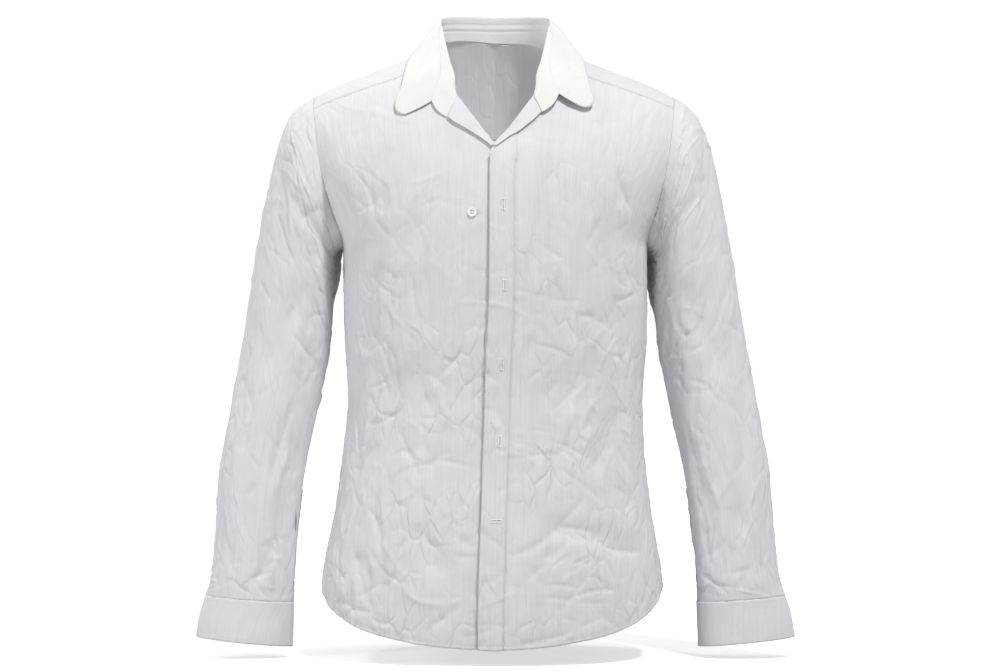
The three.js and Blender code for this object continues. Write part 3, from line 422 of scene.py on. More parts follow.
CREASES_FRONT = table(
    "x1 z1 x2 z2 x3 z3 reach depth",
    (-144, -67, -158, -100, -174, -112, 5, 1.2),
    (-108, -85, -113, -95, -117, -104, 4, 0.8),
    (-146, -139, -149, -180, -141, -210, 5, 1.4),
    (-141, -210, -134, -221, -125, -227, 4, 1.0),
    (-132, -166, -132, -185, -132, -205, 9, 1.2),
    (-122, -154, -117, -178, -114, -203, 4, 1.0),
    (-134, -257, -149, -295, -163, -361, 7, 1.4),
    (-163, -276, -151, -277, -139, -278, 3, 0.8),
    (-132, -271, -123, -276, -115, -281, 3, 0.8),
    (-102, -264, -97, -295, -91, -333, 3.5, 1.3),
    (-87, -271, -78, -301, -78, -349, 4, 1.2),
    (-129, -363, -127, -380, -125, -398, 4, 1.0),
    (-104, -384, -125, -457, -141, -508, 5, 1.5),
    (-141, -508, -149, -523, -161, -536, 5, 1.3),
    (-117, -459, -97, -501, -90, -520, 4, 1.3),
    (-83, -545, -74, -551, -66, -557, 3, 0.9),
    (-90, -584, -74, -600, -59, -616, 4, 1.3),
    (-46, -614, -34, -614, -22, -614, 3, 0.9),
    (-169, -604, -161, -647, -146, -682, 5, 1.5),
    (-137, -586, -134, -635, -144, -682, 5, 1.6),
    (-193, -628, -187, -638, -181, -647, 4, 1.0),
    (-195, -667, -169, -679, -146, -683, 4, 1.3),
    (-144, -694, -133, -695, -122, -697, 3, 0.9),
    (-108, -647, -95, -665, -59, -672, 5, -1.5),
    (69, -90, 71, -145, 71, -199, 6, 1.0),
    (71, -199, 68, -235, 73, -277, 5, 1.3),
    (73, -277, 86, -319, 91, -361, 5, 1.4),
    (91, -361, 92, -403, 93, -443, 5, 1.4),
    (120, -85, 139, -113, 150, -145, 7, 1.3),
    (150, -145, 156, -175, 167, -199, 5, 1.5),
    (149, -179, 149, -205, 149, -230, 3.5, 1.2),
    (120, -272, 127, -261, 135, -252, 3, 1.0),
    (151, -310, 161, -305, 171, -299, 3, 1.0),
    (140, -264, 146, -303, 151, -381, 5, 1.5),
    (99, -326, 113, -326, 125, -326, 3, 0.9),
    (50, -324, 55, -324, 60, -324, 3, 0.8),
    (55, -204, 44, -264, 40, -303, 4, 1.0),
    (40, -303, 34, -321, 24, -342, 4, 1.0),
    (60, -426, 69, -415, 78, -403, 4, 1.0),
    (117, -512, 139, -478, 153, -434, 5, 1.6),
    (149, -483, 158, -501, 169, -519, 4, 1.3),
    (24, -612, 55, -598, 81, -574, 4, 1.5),
    (81, -574, 96, -560, 109, -543, 4, 1.3),
    (81, -579, 101, -582, 120, -586, 3, 1.0),
    (120, -599, 127, -587, 133, -574, 3, 1.0),
    (133, -605, 156, -610, 177, -612, 5, 2.0),
    (99, -621, 108, -623, 117, -626, 3, 0.9),
    (42, -623, 54, -641, 66, -659, 4, 1.3),
    (60, -663, 74, -664, 89, -665, 3, 1.0),
    (107, -699, 119, -693, 131, -688, 4, 1.1),
    (29, -719, 60, -714, 91, -706, 4, 1.1),
    (149, -681, 152, -673, 156, -665, 3, 0.9),
    (-240, -121, -232, -151, -219, -178, 5, 1.6),
    (-235, -215, -223, -200, -195, -194, 5, 1.5),
    (-205, -243, -216, -289, -205, -337, 6, -1.8),
    (-242, -215, -241, -247, -235, -283, 5, 1.5),
    (-242, -300, -234, -340, -230, -381, 5, 1.5),
    (-244, -426, -259, -472, -271, -525, 6, 2.0),
    (-249, -487, -258, -513, -266, -541, 4, -1.4),
    (-242, -482, -241, -517, -240, -550, 4, 1.2),
    (-261, -545, -268, -599, -296, -656, 6, 2.0),
    (-268, -599, -261, -599, -254, -599, 3, 0.9),
    (-294, -656, -280, -636, -268, -623, 4, 1.4),
    (252, -379, 247, -422, 244, -465, 6, 1.8),
    (244, -574, 258, -546, 271, -519, 5, 1.8),
    (255, -581, 260, -609, 268, -636, 5, 1.6),
    (297, -558, 315, -599, 331, -646, 8, 2.2),
    (255, -641, 272, -654, 289, -667, 4, 1.4),
    (289, -641, 301, -638, 313, -634, 4, 1.0),
    (302, -659, 307, -645, 313, -630, 4, 1.1),
)
CREASES_BACK = table(
    "x1 z1 x2 z2 x3 z3 reach depth",
    (-150, -120, -128, -170, -120, -214, 5, 1.4),
    (138, -118, 128, -160, 108, -198, 5, 1.4),
    (-40, -150, -52, -196, -48, -250, 5, 1.2),
    (36, -160, 30, -214, 42, -268, 5, 1.2),
    (-92, -262, -70, -300, -66, -348, 5, 1.5),
    (88, -250, 104, -300, 98, -352, 5, 1.5),
    (-150, -300, -128, -330, -92, -342, 4, 1.2),
    (150, -318, 118, -340, 92, -338, 4, 1.2),
    (-20, -330, -8, -372, -22, -418, 5, 1.4),
    (-128, -380, -104, -430, -112, -492, 5, 1.6),
    (70, -402, 88, -452, 84, -512, 5, 1.6),
    (136, -420, 122, -470, 132, -520, 5, -1.4),
    (-40, -460, -28, -506, -46, -552, 4, 1.3),
    (18, -470, 36, -500, 30, -548, 4, 1.2),
    (-160, -560, -120, -578, -82, -572, 4, 1.4),
    (156, -570, 112, -586, 70, -580, 4, 1.4),
    (-100, -612, -76, -652, -84, -694, 5, 1.6),
    (-20, -604, 2, -650, -6, -700, 5, 1.3),
    (62, -622, 84, -656, 80, -700, 5, 1.5),
    (140, -610, 150, -646, 136, -684, 4, 1.2),
    (-236, -180, -244, -232, -230, -286, 5, 1.6),
    (-250, -330, -236, -380, -246, -430, 5, 1.7),
    (-262, -450, -282, -500, -274, -556, 5, 1.7),
    (-256, -590, -284, -616, -300, -652, 5, 1.5),
    (234, -170, 250, -226, 240, -282, 5, 1.6),
    (262, -320, 246, -376, 262, -430, 5, 1.7),
    (270, -460, 292, -508, 282, -560, 5, 1.7),
    (268, -596, 292, -620, 306, -656, 5, 1.5),
)
FOLDS_SLEEVE = table(
    "x1 z1 x2 z2 x3 z3 reach depth",
    (150, 102, 106, 150, 70, 192, 14, 3.2),
    (40, 141, 54, 206, 62, 269, 13, 3.0),
    (110, 256, 92, 326, 70, 397, 13, 3.4),
    (60, 422, 76, 508, 96, 589, 12, 3.0),
    (140, 448, 128, 512, 118, 576, 11, 2.6),
    (250, 141, 278, 206, 300, 269, 14, 3.4),
    (290, 320, 264, 372, 236, 422, 13, 3.2),
    (262, 474, 280, 532, 300, 589, 12, 2.8),
)
RUN_PARTS, CRISP = 8, 0.65
LINE_WIDTH, FADE_AT_ENDS, RUN_REACHES = 0.7, 0.8, 4


def run_depth(across, down, runs, sharp):
    """Depth at some places of creases charted as runs through three points."""
    depth = np.zeros_like(across)
    t = np.linspace(0, 1, RUN_PARTS + 1)[:, None]
    for x1, z1, x2, z2, x3, z3, reach, most in zip(*runs.values()):
        first, last = np.array([x1, z1]), np.array([x3, z3])
        control = 2 * np.array([x2, z2]) - (first + last) / 2
        line = (1 - t) ** 2 * first + 2 * t * (1 - t) * control + t**2 * last
        low, high = line.min(0) - RUN_REACHES * reach, line.max(0) + RUN_REACHES * reach
        near = (across > low[0]) & (across < high[0]) & (down > low[1]) & (down < high[1])
        if not near.any():
            continue
        place = np.stack([across[near], down[near]], -1)[:, None]
        step = np.diff(line, axis=0)
        along = np.clip(((place - line[:-1]) * step).sum(-1) / (step**2).sum(-1), 0, 1)
        away = np.linalg.norm(place - line[:-1] - along[..., None] * step, axis=-1)
        part = away.argmin(1)
        rows = np.arange(len(part))
        share = (part + along[rows, part]) / RUN_PARTS
        ends = 1 - FADE_AT_ENDS * (2 * share - 1) ** 4
        away = away[rows, part]
        if sharp:
            flank = np.exp(-(np.hypot(away, LINE_WIDTH) - LINE_WIDTH) / (CRISP * reach))
        else:
            flank = np.exp(-((away / reach) ** 2))
        depth[near] += most * ends * flank
    return depth


# %% Short creases strewn over the cloth
LEAN_SPREAD, BOW_SPREAD, RAISED_SHARE = 0.65, 0.2, 0.35
SHORT_HALF, SHORT_REACH, SHORT_DEPTH = (7, 30), (1.5, 3.2), (0.3, 1.15)


def strewn(seed, count, low, high):
    """Short creases between two corners of a stretch of cloth, most of them upright."""
    rng = np.random.default_rng(seed)
    middle = rng.uniform(low, high, (count, 2))
    angle = rng.normal(math.pi / 2, LEAN_SPREAD, count)
    ahead = np.stack([np.cos(angle), np.sin(angle)], -1) * rng.uniform(*SHORT_HALF, (count, 1))
    aside = ahead[:, ::-1] * (-1, 1) * rng.normal(0, BOW_SPREAD, (count, 1))
    reach = rng.uniform(*SHORT_REACH, count)
    depth = rng.uniform(*SHORT_DEPTH, count) * np.where(rng.random(count) < RAISED_SHARE, -1, 1)
    parts = [middle - ahead, middle + aside, middle + ahead, reach, depth]
    return dict(zip(CREASES_FRONT, np.column_stack(parts).T))


# %% The net of crush lines
NET = table("size depth stretch", (64, 1.2, 2.4), (34, -0.7, 2.2), (17, 0.4, 1.8), (9, -0.2, 1.2))
NET_CREST, CALM_GAIN = 0.35, 0.9
CALM_SIZE, CALM_OFFSET = 110, 7.1  # the net is calmer in places about this far apart
SEED_STRIDE = 3.7


def net_depth(across, down, seed, wrap=0):
    """Depth of the net of crush lines. With wrap, it meets itself at that distance across."""
    places = np.stack([across.ravel(), down.ravel()], -1)
    if wrap:
        angle = places[:, 0] / wrap * 2 * np.pi
        ring = wrap / (2 * np.pi)
        places = np.stack([ring * np.cos(angle), places[:, 1], ring * np.sin(angle)], -1)
    else:
        places = np.column_stack([places, np.zeros(len(places))])
    depth = np.zeros(len(places))
    calm = np.array([noise.noise(Vector(p / CALM_SIZE) + Vector((seed, CALM_OFFSET, 0))) for p in places])
    for size, most, stretch in zip(*NET.values()):
        scale = np.array([1, 1 / stretch, 1]) / size
        offset = Vector((seed * SEED_STRIDE, size, seed))
        folds = np.array([noise.noise(Vector(p) + offset) for p in places * scale])
        depth += most * (NET_CREST - np.abs(folds))
    return (depth * (1 + CALM_GAIN * calm)).reshape(across.shape)


# %% [markdown]
# ## Rows of stitches
#
# A stitch is a small thread bead that dips into the cloth at both ends. One stitch has eight
# faces, so that thousands of them stay light.


# %% Stitch rows
STITCH_PITCH, STITCH_LENGTH, STITCH_WIDTH, STITCH_LIFT = 2.7, 2.0, 0.5, 0.1
END_DIP, BELLY = 0.4, 0.6  # shares of half the width
# The "cut" thread is dark: it sews the bars of the buttons, and its bead in the right sleeve's slit is
# painted shade.
threads = {"grey": [], "white": [], "cut": []}


def resample(line, normal, pitch):
    """Points, directions and normals at even steps along a line."""
    step = np.linalg.norm(np.diff(line, axis=0), axis=1)
    length = np.concatenate([[0], np.cumsum(step)])
    places = np.arange(pitch / 2, length[-1], pitch)
    pick = lambda values: np.stack([np.interp(places, length, values[:, k]) for k in range(3)], -1)
    points = pick(line)
    ahead = np.gradient(points, axis=0)
    ahead /= np.maximum(np.linalg.norm(ahead, axis=1, keepdims=True), NO_LENGTH)
    up = pick(normal)
    up /= np.maximum(np.linalg.norm(up, axis=1, keepdims=True), NO_LENGTH)
    return points, ahead, up


def stitch_mesh(name, stitches):
    """All stitches of a piece as one mesh: (centre, direction, up, length, width) each."""
    centres, ahead, up, length, width = (np.concatenate(part) for part in zip(*stitches))
    side = np.cross(ahead, up)
    half, wide = length[:, None] / 2, width[:, None] / 2
    corners = [
        centres - ahead * half - up * wide * END_DIP,
        centres + side * wide,
        centres + up * wide,
        centres - side * wide,
        centres - up * wide * BELLY,
        centres + ahead * half - up * wide * END_DIP,
    ]
    points = np.stack(corners, 1).reshape(-1, 3) * MM
    faces = []
    for k in range(len(centres)):
        b = 6 * k
        for i in range(4):
            j = (i + 1) % 4
            faces += [(b, b + 1 + j, b + 1 + i), (b + 5, b + 1 + i, b + 1 + j)]
    mesh = bpy.data.meshes.new(name)
    mesh.from_pydata([tuple(p) for p in points], [], faces)
    bm = bmesh.new()
    bm.from_mesh(mesh)
    bmesh.ops.recalc_face_normals(bm, faces=bm.faces)
    bm.to_mesh(mesh)
    bm.free()
    return link_mesh(name, mesh)


def inset(grid, outward, distance):
    """The line at a distance from a grid's bottom row, with its normals."""
    gap = np.linalg.norm(np.diff(grid[::-1], axis=0), axis=2)
    far = np.concatenate([np.zeros((1, gap.shape[1])), np.cumsum(gap, 0)])
    columns = range(grid.shape[1])
    pick = lambda part: np.array(
        [[np.interp(distance, far[:, c], part[::-1, c, k]) for k in range(3)] for c in columns]
    )
    return pick(grid), pick(outward)


def sew(thread, grid, outward, distance, *edges, lift=STITCH_LIFT):
    """Rows of stitches at a distance from edges of a grid: its bottom or top row, or a side."""
    for edge in edges:
        parts = (grid, outward)
        if edge in ("last", "first"):
            parts = [np.swapaxes(part, 0, 1) for part in parts]
        if edge in ("top", "first"):
            parts = [part[::-1] for part in parts]
        points, ahead, up = resample(*inset(*parts, distance), STITCH_PITCH)
        sizes = np.full(len(points), STITCH_LENGTH), np.full(len(points), STITCH_WIDTH)
        threads[thread].append((points + up * lift, ahead, up, *sizes))


# %% [markdown]
# ## Fronts
#
# A front hangs from the shoulder seam. Its rows run from the inner edge to the armhole, and
# below the underarm to the side seam. Above the crossing its corner is turned out along the
# roll line and laid on the front. Both fronts read one field of creases, by place on the
# body, so that the left one never cuts into the right one where it laps.

# %% Rows and columns of a front
NECK_ROWS, ROLL_ROWS, ARM_ROWS, BODY_ROWS = 3, 5, 9, 17
BAND_COLUMNS, FRONT_COLUMNS = 3, 12
BAND_WIDTH = 30
LAP_FULL, LAP_GONE = 30, 85
LAP_TOP_Z, LAP_FULL_Z = -98, -128
ROLL_END_Z, LAP_EDGE_Z = -124, -150
SIDE_SEAM_DEGREES, SIDE_SEAM_SHIFT = 85, 4  # reached a quarter of the way down
CALM_ROLL, ROLL_SIDE, ROLL_DROP = 0.35, (0, 40), (110, 150)


def front_row_ends(side, row):
    """x and z of a row's inner edge, and of its end at the armhole or the side seam."""
    row = np.asarray(row, float)
    neck = neck_point(side, mix(NECK_SHOULDER, NECK_CORNER, np.clip(row / NECK_ROWS, 0, 1)))
    roll = np.clip((row - NECK_ROWS) / ROLL_ROWS, 0, 1)
    lap = np.clip(row - NECK_ROWS - ROLL_ROWS, 0, 1)
    down = np.clip((row - ARM_ROWS) / BODY_ROWS, 0, 1)
    z = mix(neck_point(side, NECK_CORNER)[..., 2], ROLL_END_Z, roll)
    z = mix(mix(z, LAP_EDGE_Z, lap), hem_height(0), down)
    x = lookup(FRONT_EDGES, "z", z, "left" if side > 0 else "right")
    above = row <= NECK_ROWS
    arm = armhole_point(side, mix(ARM_FRONT, 180, np.clip(row / ARM_ROWS, 0, 1)))
    outer_z = np.where(down > 0, mix(CHEST_Z, HEM_SIDE_Z, down), arm[..., 2])
    angle = np.radians(mix(90, SIDE_SEAM_DEGREES, np.minimum(1, down * SIDE_SEAM_SHIFT)))
    seam_x = side * np.sin(angle) ** (2 / ROUNDNESS) * half_width(side, outer_z)
    outer_x = np.where(down > 0, seam_x, arm[..., 0])
    return np.where(above, neck[..., 0], x), np.where(above, neck[..., 2], z), outer_x, outer_z


def turn_of(share):
    return np.arcsin(power(np.clip(share, -1, 1), ROUNDNESS / 2))


def roll_calm(from_edge, z):
    """Weaker creases beside the roll line and the top of the band."""
    return mix(CALM_ROLL, 1, np.maximum(smooth(from_edge, *ROLL_SIDE), smooth(-z, *ROLL_DROP)))


def column_shares(side, ends, column):
    """Shares of the half width at the columns of a row: the band's, then evenly round."""
    inner_x, inner_z, outer_x, outer_z = ends
    width = half_width(side, inner_z)
    near = (inner_x * side + column * BAND_WIDTH / BAND_COLUMNS) / width
    start = turn_of((inner_x * side + BAND_WIDTH) / width)
    end = turn_of(np.abs(outer_x) / half_width(side, outer_z))
    along = np.clip((column - BAND_COLUMNS) / (FRONT_COLUMNS - BAND_COLUMNS), 0, 1)
    far = power(np.sin(mix(start, end, along)), 2 / ROUNDNESS)
    return np.where(column < BAND_COLUMNS, near, far)


def seam_bow(side, column):
    """How far the shoulder seam lies above a straight line between its ends."""
    ends = front_row_ends(side, 0.0)
    share = column_shares(side, ends, column)
    straight = mix(ends[1], ends[3], (share - share[0]) / (share[-1] - share[0]))
    return seam_height(share * half_width(side, straight)) - straight


def lap_lift(side, x, z):
    lift = LAP_LIFT * (1 - smooth(x, LAP_FULL, LAP_GONE)) * (1 - smooth(z, LAP_FULL_Z, LAP_TOP_Z))
    return lift * (side > 0)


def front_grid(side, row, column):
    ends = [value[:, None] for value in front_row_ends(side, row)]
    share = column_shares(side, ends, column[None])
    across = (share - share[:, :1]) / (share[:, -1:] - share[:, :1])
    down = np.clip((row - ARM_ROWS) / BODY_ROWS, 0, 1)[:, None]
    hold = np.clip(1 - row / NECK_ROWS, 0, 1)[:, None] ** 2
    underarm = front_row_ends(side, ARM_ROWS)
    upper = mix(ends[1], ends[3], across) + hold * seam_bow(side, column)
    lower = mix(mix(underarm[1], underarm[3], across), hem_height(share), down)
    z = np.where(down > 0, lower, upper)
    x = side * share * half_width(side * share, z)
    grid = body_point(x, z, False)
    grid[..., 1] -= lap_lift(side, x, z)
    return grid


# %% Depth of the body's creases
FRONT_SEED, BACK_SEED, SEAM_FROM, SEAM_FADE = 4, 9, -4, 14
MM_PER_TURN = 165  # width of the cloth for each radian round the body
RUN_GAIN, RIGHT_HALF_MORE = 1.3, 0.1
STREWN_BODY, STREWN_SLEEVE = 1100, 600
CRUSH_TOP, CRUSH_LOW = 0.6, 1.5  # how strong crush lines are at the chest and at the hem
CRUSH_DROP, CRUSH_MIDDLE, MIDDLE_TURN, RIGHT_HALF_X = (120, 430), 0.75, (0.1, 0.6), (10, 60)
STREWN_LOW, STREWN_HIGH = (-300, -740), (300, -40)
PUCKER_SIZE, PUCKER_DEPTH, PUCKER_REACH = 7, 0.7, 9
PUCKER_STRETCH, PUCKER_REACHES = 4, 4
# Buttons of the right front, and the buttonholes of the band, each with the way that it runs.
BUTTONS = table("x z", (-25.7, -202), (13, -289), (10, -384), (7, -476), (3.6, -571))
BUTTONHOLES = table(
    "x z upright",
    (11.4, -193, 1),
    (13.2, -289, 1),
    (10.2, -384, 1),
    (7.2, -476, 1),
    (3.6, -571, 0),
)
CALM_NEAR, CALM_FAR = 8, 20


def calm_at_buttons(x, z):
    """0 at buttons and buttonholes, where the layers hold each other flat, and 1 away from them."""
    calm = np.ones(np.shape(x))
    for spots in (BUTTONS, BUTTONHOLES):
        for spot_x, spot_z in zip(spots["x"], spots["z"]):
            calm *= smooth(np.hypot(x - spot_x, z - spot_z), CALM_NEAR, CALM_FAR)
    return calm


def body_depth(x, z, back):
    """How far the cloth is creased inwards at a place of the front or the back."""
    turn = turn_of(x / half_width(x, z))
    folds, creases = (FOLDS_BACK, CREASES_BACK) if back else (FOLDS_FRONT, CREASES_FRONT)
    runs = RUN_GAIN * run_depth(x, z, creases, True)
    crush = mix(CRUSH_TOP, CRUSH_LOW, smooth(-z, *CRUSH_DROP))
    crush = crush * mix(CRUSH_MIDDLE, 1, smooth(np.abs(turn), *MIDDLE_TURN))
    crush *= 1 + RIGHT_HALF_MORE * smooth(-x, *RIGHT_HALF_X)
    across, seed = MM_PER_TURN * turn, BACK_SEED if back else FRONT_SEED
    small = run_depth(across, z, strewn(seed, STREWN_BODY, STREWN_LOW, STREWN_HIGH), True)
    creased = runs + crush * (net_depth(across, z, seed) + small)
    return run_depth(x, z, folds, False) + creased * (1 if back else calm_at_buttons(x, z))


def seam_hold(away):
    """Weaker creases beside a seam."""
    return smooth(away, SEAM_FROM, SEAM_FADE)


def puckers(along, away, seed):
    """Small gathers beside a seam, by the distances along it and away from it."""
    near = away < PUCKER_REACHES * PUCKER_REACH
    depth = np.zeros_like(away)
    spots = np.stack([along[near] / PUCKER_SIZE, away[near] / PUCKER_SIZE / PUCKER_STRETCH], -1)
    wave = [noise.noise(Vector((a, b, seed))) for a, b in spots]
    depth[near] = PUCKER_DEPTH * np.array(wave) * np.exp(-away[near] / PUCKER_REACH)
    return depth


HEM_WIDTH, HEM_GROOVE, HEM_REACH = 5.5, 0.5, 1.8


def hem_depth(along, up, seed):
    """The hem's fold: a shallow groove along its stitches, with small gathers."""
    groove = HEM_GROOVE * np.exp(-(((up - HEM_WIDTH) / HEM_REACH) ** 2))
    return groove + puckers(along, up, seed)


# %% Make the fronts
GREY_WALL = 0.6
FINE_ARM, FINE_BODY, FINE_BAND, FINE_ROUND = 8, 13, 4, 10
TURNED_LEFT = table(
    "share out down",
    (0, 9.5, 19),
    (0.3, 13, 11),
    (0.6, 12, 4),
    (0.85, 8, 0),
    (1, 3, 0),
)
TURNED_RIGHT = table(
    "share out down",
    (0, 10.5, 27),
    (0.3, 16, 15),
    (0.6, 12, 6),
    (0.85, 7, 1),
    (1, 3, 0),
)
TURN_RADIUS, TURN_LIFT = 0.8, 1.2
TURN_STEPS, TURN_ARC = 14, 6
TURN_START, TURN_SUNK = 0.04, 0.35  # where its first strip lies, and how far it follows creases
ARM_STITCH, BAND_STITCH, YOKE_STITCH, CUFF_STITCH, LAP_STITCH = 6, 4, 3, 5, 4
row = fine_steps((ARM_ROWS, FINE_ARM), (BODY_ROWS, FINE_BODY))
column = fine_steps((BAND_COLUMNS, FINE_BAND), (FRONT_COLUMNS - BAND_COLUMNS, FINE_ROUND))


def front_sheet(side):
    """The creased front, and its turned-out corner."""
    plain = front_grid(side, row, column)
    x, z = plain[..., 0], plain[..., 2]
    u, v = cloth_lengths(plain)
    edge = u[:, -1:] - u
    hold = seam_hold(edge) * seam_hold(v) * roll_calm(u, z)
    depth = hold * body_depth(x, z, False) + puckers(v, edge, seed=side) + puckers(u, v, seed=side + 5)
    depth += hem_depth(u, v[-1:] - v, seed=side + 11)
    outward = normals_of(plain) * side
    grid = plain - outward * depth[..., None]
    rolled = np.flatnonzero((row >= NECK_ROWS) & (row < NECK_ROWS + ROLL_ROWS))
    root, following = grid[rolled, 0], grid[rolled, 1]
    share = (row[rolled] - NECK_ROWS) / ROLL_ROWS
    inward = unit(root - following)
    turned = TURNED_LEFT if side > 0 else TURNED_RIGHT
    out = lookup(turned, "share", share, "out") * side
    drop = lookup(turned, "share", share, "down")
    strips = [root]
    for k in range(1, TURN_ARC):
        angle = math.pi * k / TURN_ARC
        strip = root + inward * TURN_RADIUS * math.sin(angle)
        strip[:, 1] -= TURN_RADIUS * (1 - math.cos(angle))
        strips.append(strip)
    for part in np.linspace(TURN_START, 1, TURN_STEPS):
        x, z = root[:, 0] + out * part, root[:, 2] - drop * part
        strip = body_point(x, z, False)
        sunk = TURN_SUNK * body_depth(x, z, False)
        strip[:, 1] += sunk - 2 * TURN_RADIUS - lap_lift(side, x, z) - TURN_LIFT * part
        strips.append(strip)
    corner = np.stack(strips, 1)[:, ::-1]
    return plain, grid, corner, outward


fronts = {}
for name, side in (("left_front", 1), ("right_front", -1)):
    plain, grid, corner, outward = front_sheet(side)
    both = [grid[:, ::side], corner[:, ::side]]
    piece = new_mesh(name, both, [grain(part, 0) for part in both])
    fronts[name] = dict(piece=solidify(piece, GREY_WALL), plain=plain, grid=grid, outward=outward)
    sew("grey", grid, outward, HEM_WIDTH, "bottom")
    arm_rows = row <= ARM_ROWS
    sew("grey", grid[arm_rows], outward[arm_rows], ARM_STITCH, "last")

# %% [markdown]
# ## Front band
#
# The band is a strip of the same cloth laid on the left front's edge. It is made from the
# front's own points, moved out, so it follows each crease under it.

# %% Make the band
BAND_GAP, BAND_WALL = 0.35, 0.7
BAND_TOP_Z, BAND_TOP_X, BAND_TOP_ROWS = -104, 27, 14
first = int(np.flatnonzero(row >= NECK_ROWS + ROLL_ROWS)[0])
band_columns = BAND_COLUMNS * FINE_BAND + 1
left = fronts["left_front"]
under_band = (slice(first, None), slice(band_columns))
band_grid = left["grid"][under_band] + left["outward"][under_band] * (BAND_GAP + BAND_WALL)
top_row = left["plain"][first, :band_columns]
rising = np.linspace(1, 0, BAND_TOP_ROWS + 1)[:-1, None]
z = mix(top_row[None, :, 2], BAND_TOP_Z, rising)
inner_x = lookup(FRONT_EDGES, "z", z[:, 0], "left")[:, None]
across = (top_row[:, 0] - top_row[0, 0]) / (top_row[-1, 0] - top_row[0, 0])
x = mix(inner_x, mix(top_row[-1, 0], BAND_TOP_X, rising), across)
above = body_point(x, z, False)
above[..., 1] += roll_calm(x - inner_x, z) * body_depth(x, z, False)
above[..., 1] -= lap_lift(1, x, z) + BAND_GAP + BAND_WALL
band_grid = np.concatenate([above, band_grid])
band = solidify(new_mesh("front_band", [band_grid], [grain(band_grid, 0)]), BAND_WALL)
band_outward = normals_of(band_grid)
sew("grey", band_grid, band_outward, HEM_WIDTH, "bottom")
sew("grey", band_grid, band_outward, BAND_STITCH, "last", "first")

# %% [markdown]
# ## Back and yoke
#
# The back is one panel between the side seams, with a longer tail. The yoke lies over both
# shoulders, from the shoulder seams on the front round the neck to a straight seam behind.

# %% Make the back
BACK_ARM_ROWS, BACK_COLUMNS = 8, 26
FINE_BACK_ARM, FINE_BACK_BODY, FINE_BACK_ROUND = 6, 10, 8


def back_grid(row, column):
    down = np.clip((row - BACK_ARM_ROWS) / BODY_ROWS, 0, 1)[:, None]
    up = np.clip(row / BACK_ARM_ROWS, 0, 1)[:, None]
    arm = armhole_point(1, mix(ARM_BACK, -180, up))
    middle_z = mix(YOKE_BACK_Z, CHEST_Z, up)
    angle = np.radians(mix(90, SIDE_SEAM_DEGREES, np.minimum(1, down * SIDE_SEAM_SHIFT)))
    arm_turn = turn_of(arm[..., 0] / half_width(1, arm[..., 2]))
    last = np.where(down > 0, np.pi - angle, arm_turn)
    turn = mix(-last, last, column[None] / BACK_COLUMNS)
    share, across = power(np.sin(turn), 2 / ROUNDNESS), np.abs(turn) / last
    hem_share = np.where(np.abs(turn) < np.pi / 2, np.abs(share), 1)
    hem = hem_height(hem_share) - BACK_TAIL * (1 - across)
    z = np.where(down > 0, mix(CHEST_Z, hem, down), mix(middle_z, arm[..., 2], across**2))
    return body_point(share * half_width(share, z), z, np.cos(turn) > 0)


back_row = fine_steps((BACK_ARM_ROWS, FINE_BACK_ARM), (BODY_ROWS, FINE_BACK_BODY))
plain = back_grid(back_row, fine_steps((BACK_COLUMNS, FINE_BACK_ROUND)))
u, v = cloth_lengths(plain)
edge = np.minimum(u, u[:, -1:] - u)
depth = seam_hold(edge) * seam_hold(v) * body_depth(plain[..., 0], plain[..., 2], True)
depth += puckers(v, edge, seed=20) + puckers(u, v, seed=21) + hem_depth(u, v[-1:] - v, seed=24)
back_outward = -normals_of(plain)
back_creased = (plain - back_outward * depth[..., None])[:, ::-1]
back = solidify(new_mesh("back_panel", [back_creased], [grain(back_creased, 0)]), GREY_WALL)
sew("grey", back_creased, back_outward[:, ::-1], HEM_WIDTH, "bottom")

# %% Make the yoke
YOKE_ROWS, YOKE_NECK_COLUMNS, YOKE_SPREAD = 6, 8, 95
YOKE_HOLD_FROM = 0.6
FINE_YOKE, FINE_YOKE_ROUND = 9, 5
YOKE_CRUSH, YOKE_SEED, NECK_FADE = 1.1, 14, 20


def yoke_half(side, row, column):
    """Half of the yoke: rows from the neck to the back seam, columns from the middle out."""
    count = YOKE_NECK_COLUMNS + FRONT_COLUMNS
    on_neck = column < YOKE_NECK_COLUMNS
    neck_x, neck_over = neck_place(side, NECK_SHOULDER * np.clip(column / YOKE_NECK_COLUMNS, 0, 1))
    seam_column = np.clip(column - YOKE_NECK_COLUMNS, 0, FRONT_COLUMNS)
    ends = front_row_ends(side, 0.0)
    share = column_shares(side, ends, seam_column)
    z = mix(ends[1], ends[3], (share - share[0]) / (share[-1] - share[0])) + seam_bow(side, seam_column)
    seam_x = side * share * half_width(side, z)
    start_x = np.where(on_neck, neck_x, seam_x)
    start_over = np.where(on_neck, neck_over, over_angle(seam_x, z, False))
    arm = armhole_point(side, mix(ARM_FRONT, ARM_BACK, row / YOKE_ROWS))
    end_x, end_over = arm[:, 0], over_angle(arm[:, 0], arm[:, 2], arm[:, 1] > 0)
    part, neck_part = column / count, YOKE_NECK_COLUMNS / count
    spread = YOKE_SPREAD / abs(end_x[-1])
    past_neck = (part - neck_part) / (1 - neck_part)
    far = np.where(on_neck, spread * part / neck_part, mix(spread, 1, past_neck))
    far_x = end_x[-1] * far
    far_over = over_angle(far_x, YOKE_BACK_Z, True)
    hold = np.clip((part - YOKE_HOLD_FROM) / (1 - YOKE_HOLD_FROM), 0, 1) ** 2
    down = (row / YOKE_ROWS)[:, None]
    bulge_x = end_x[:, None] - mix(end_x[0], end_x[-1], down)
    bulge_over = end_over[:, None] - mix(end_over[0], end_over[-1], down)
    return shoulder_point(
        mix(start_x, far_x, down) + hold * bulge_x, mix(start_over, far_over, down) + hold * bulge_over
    )


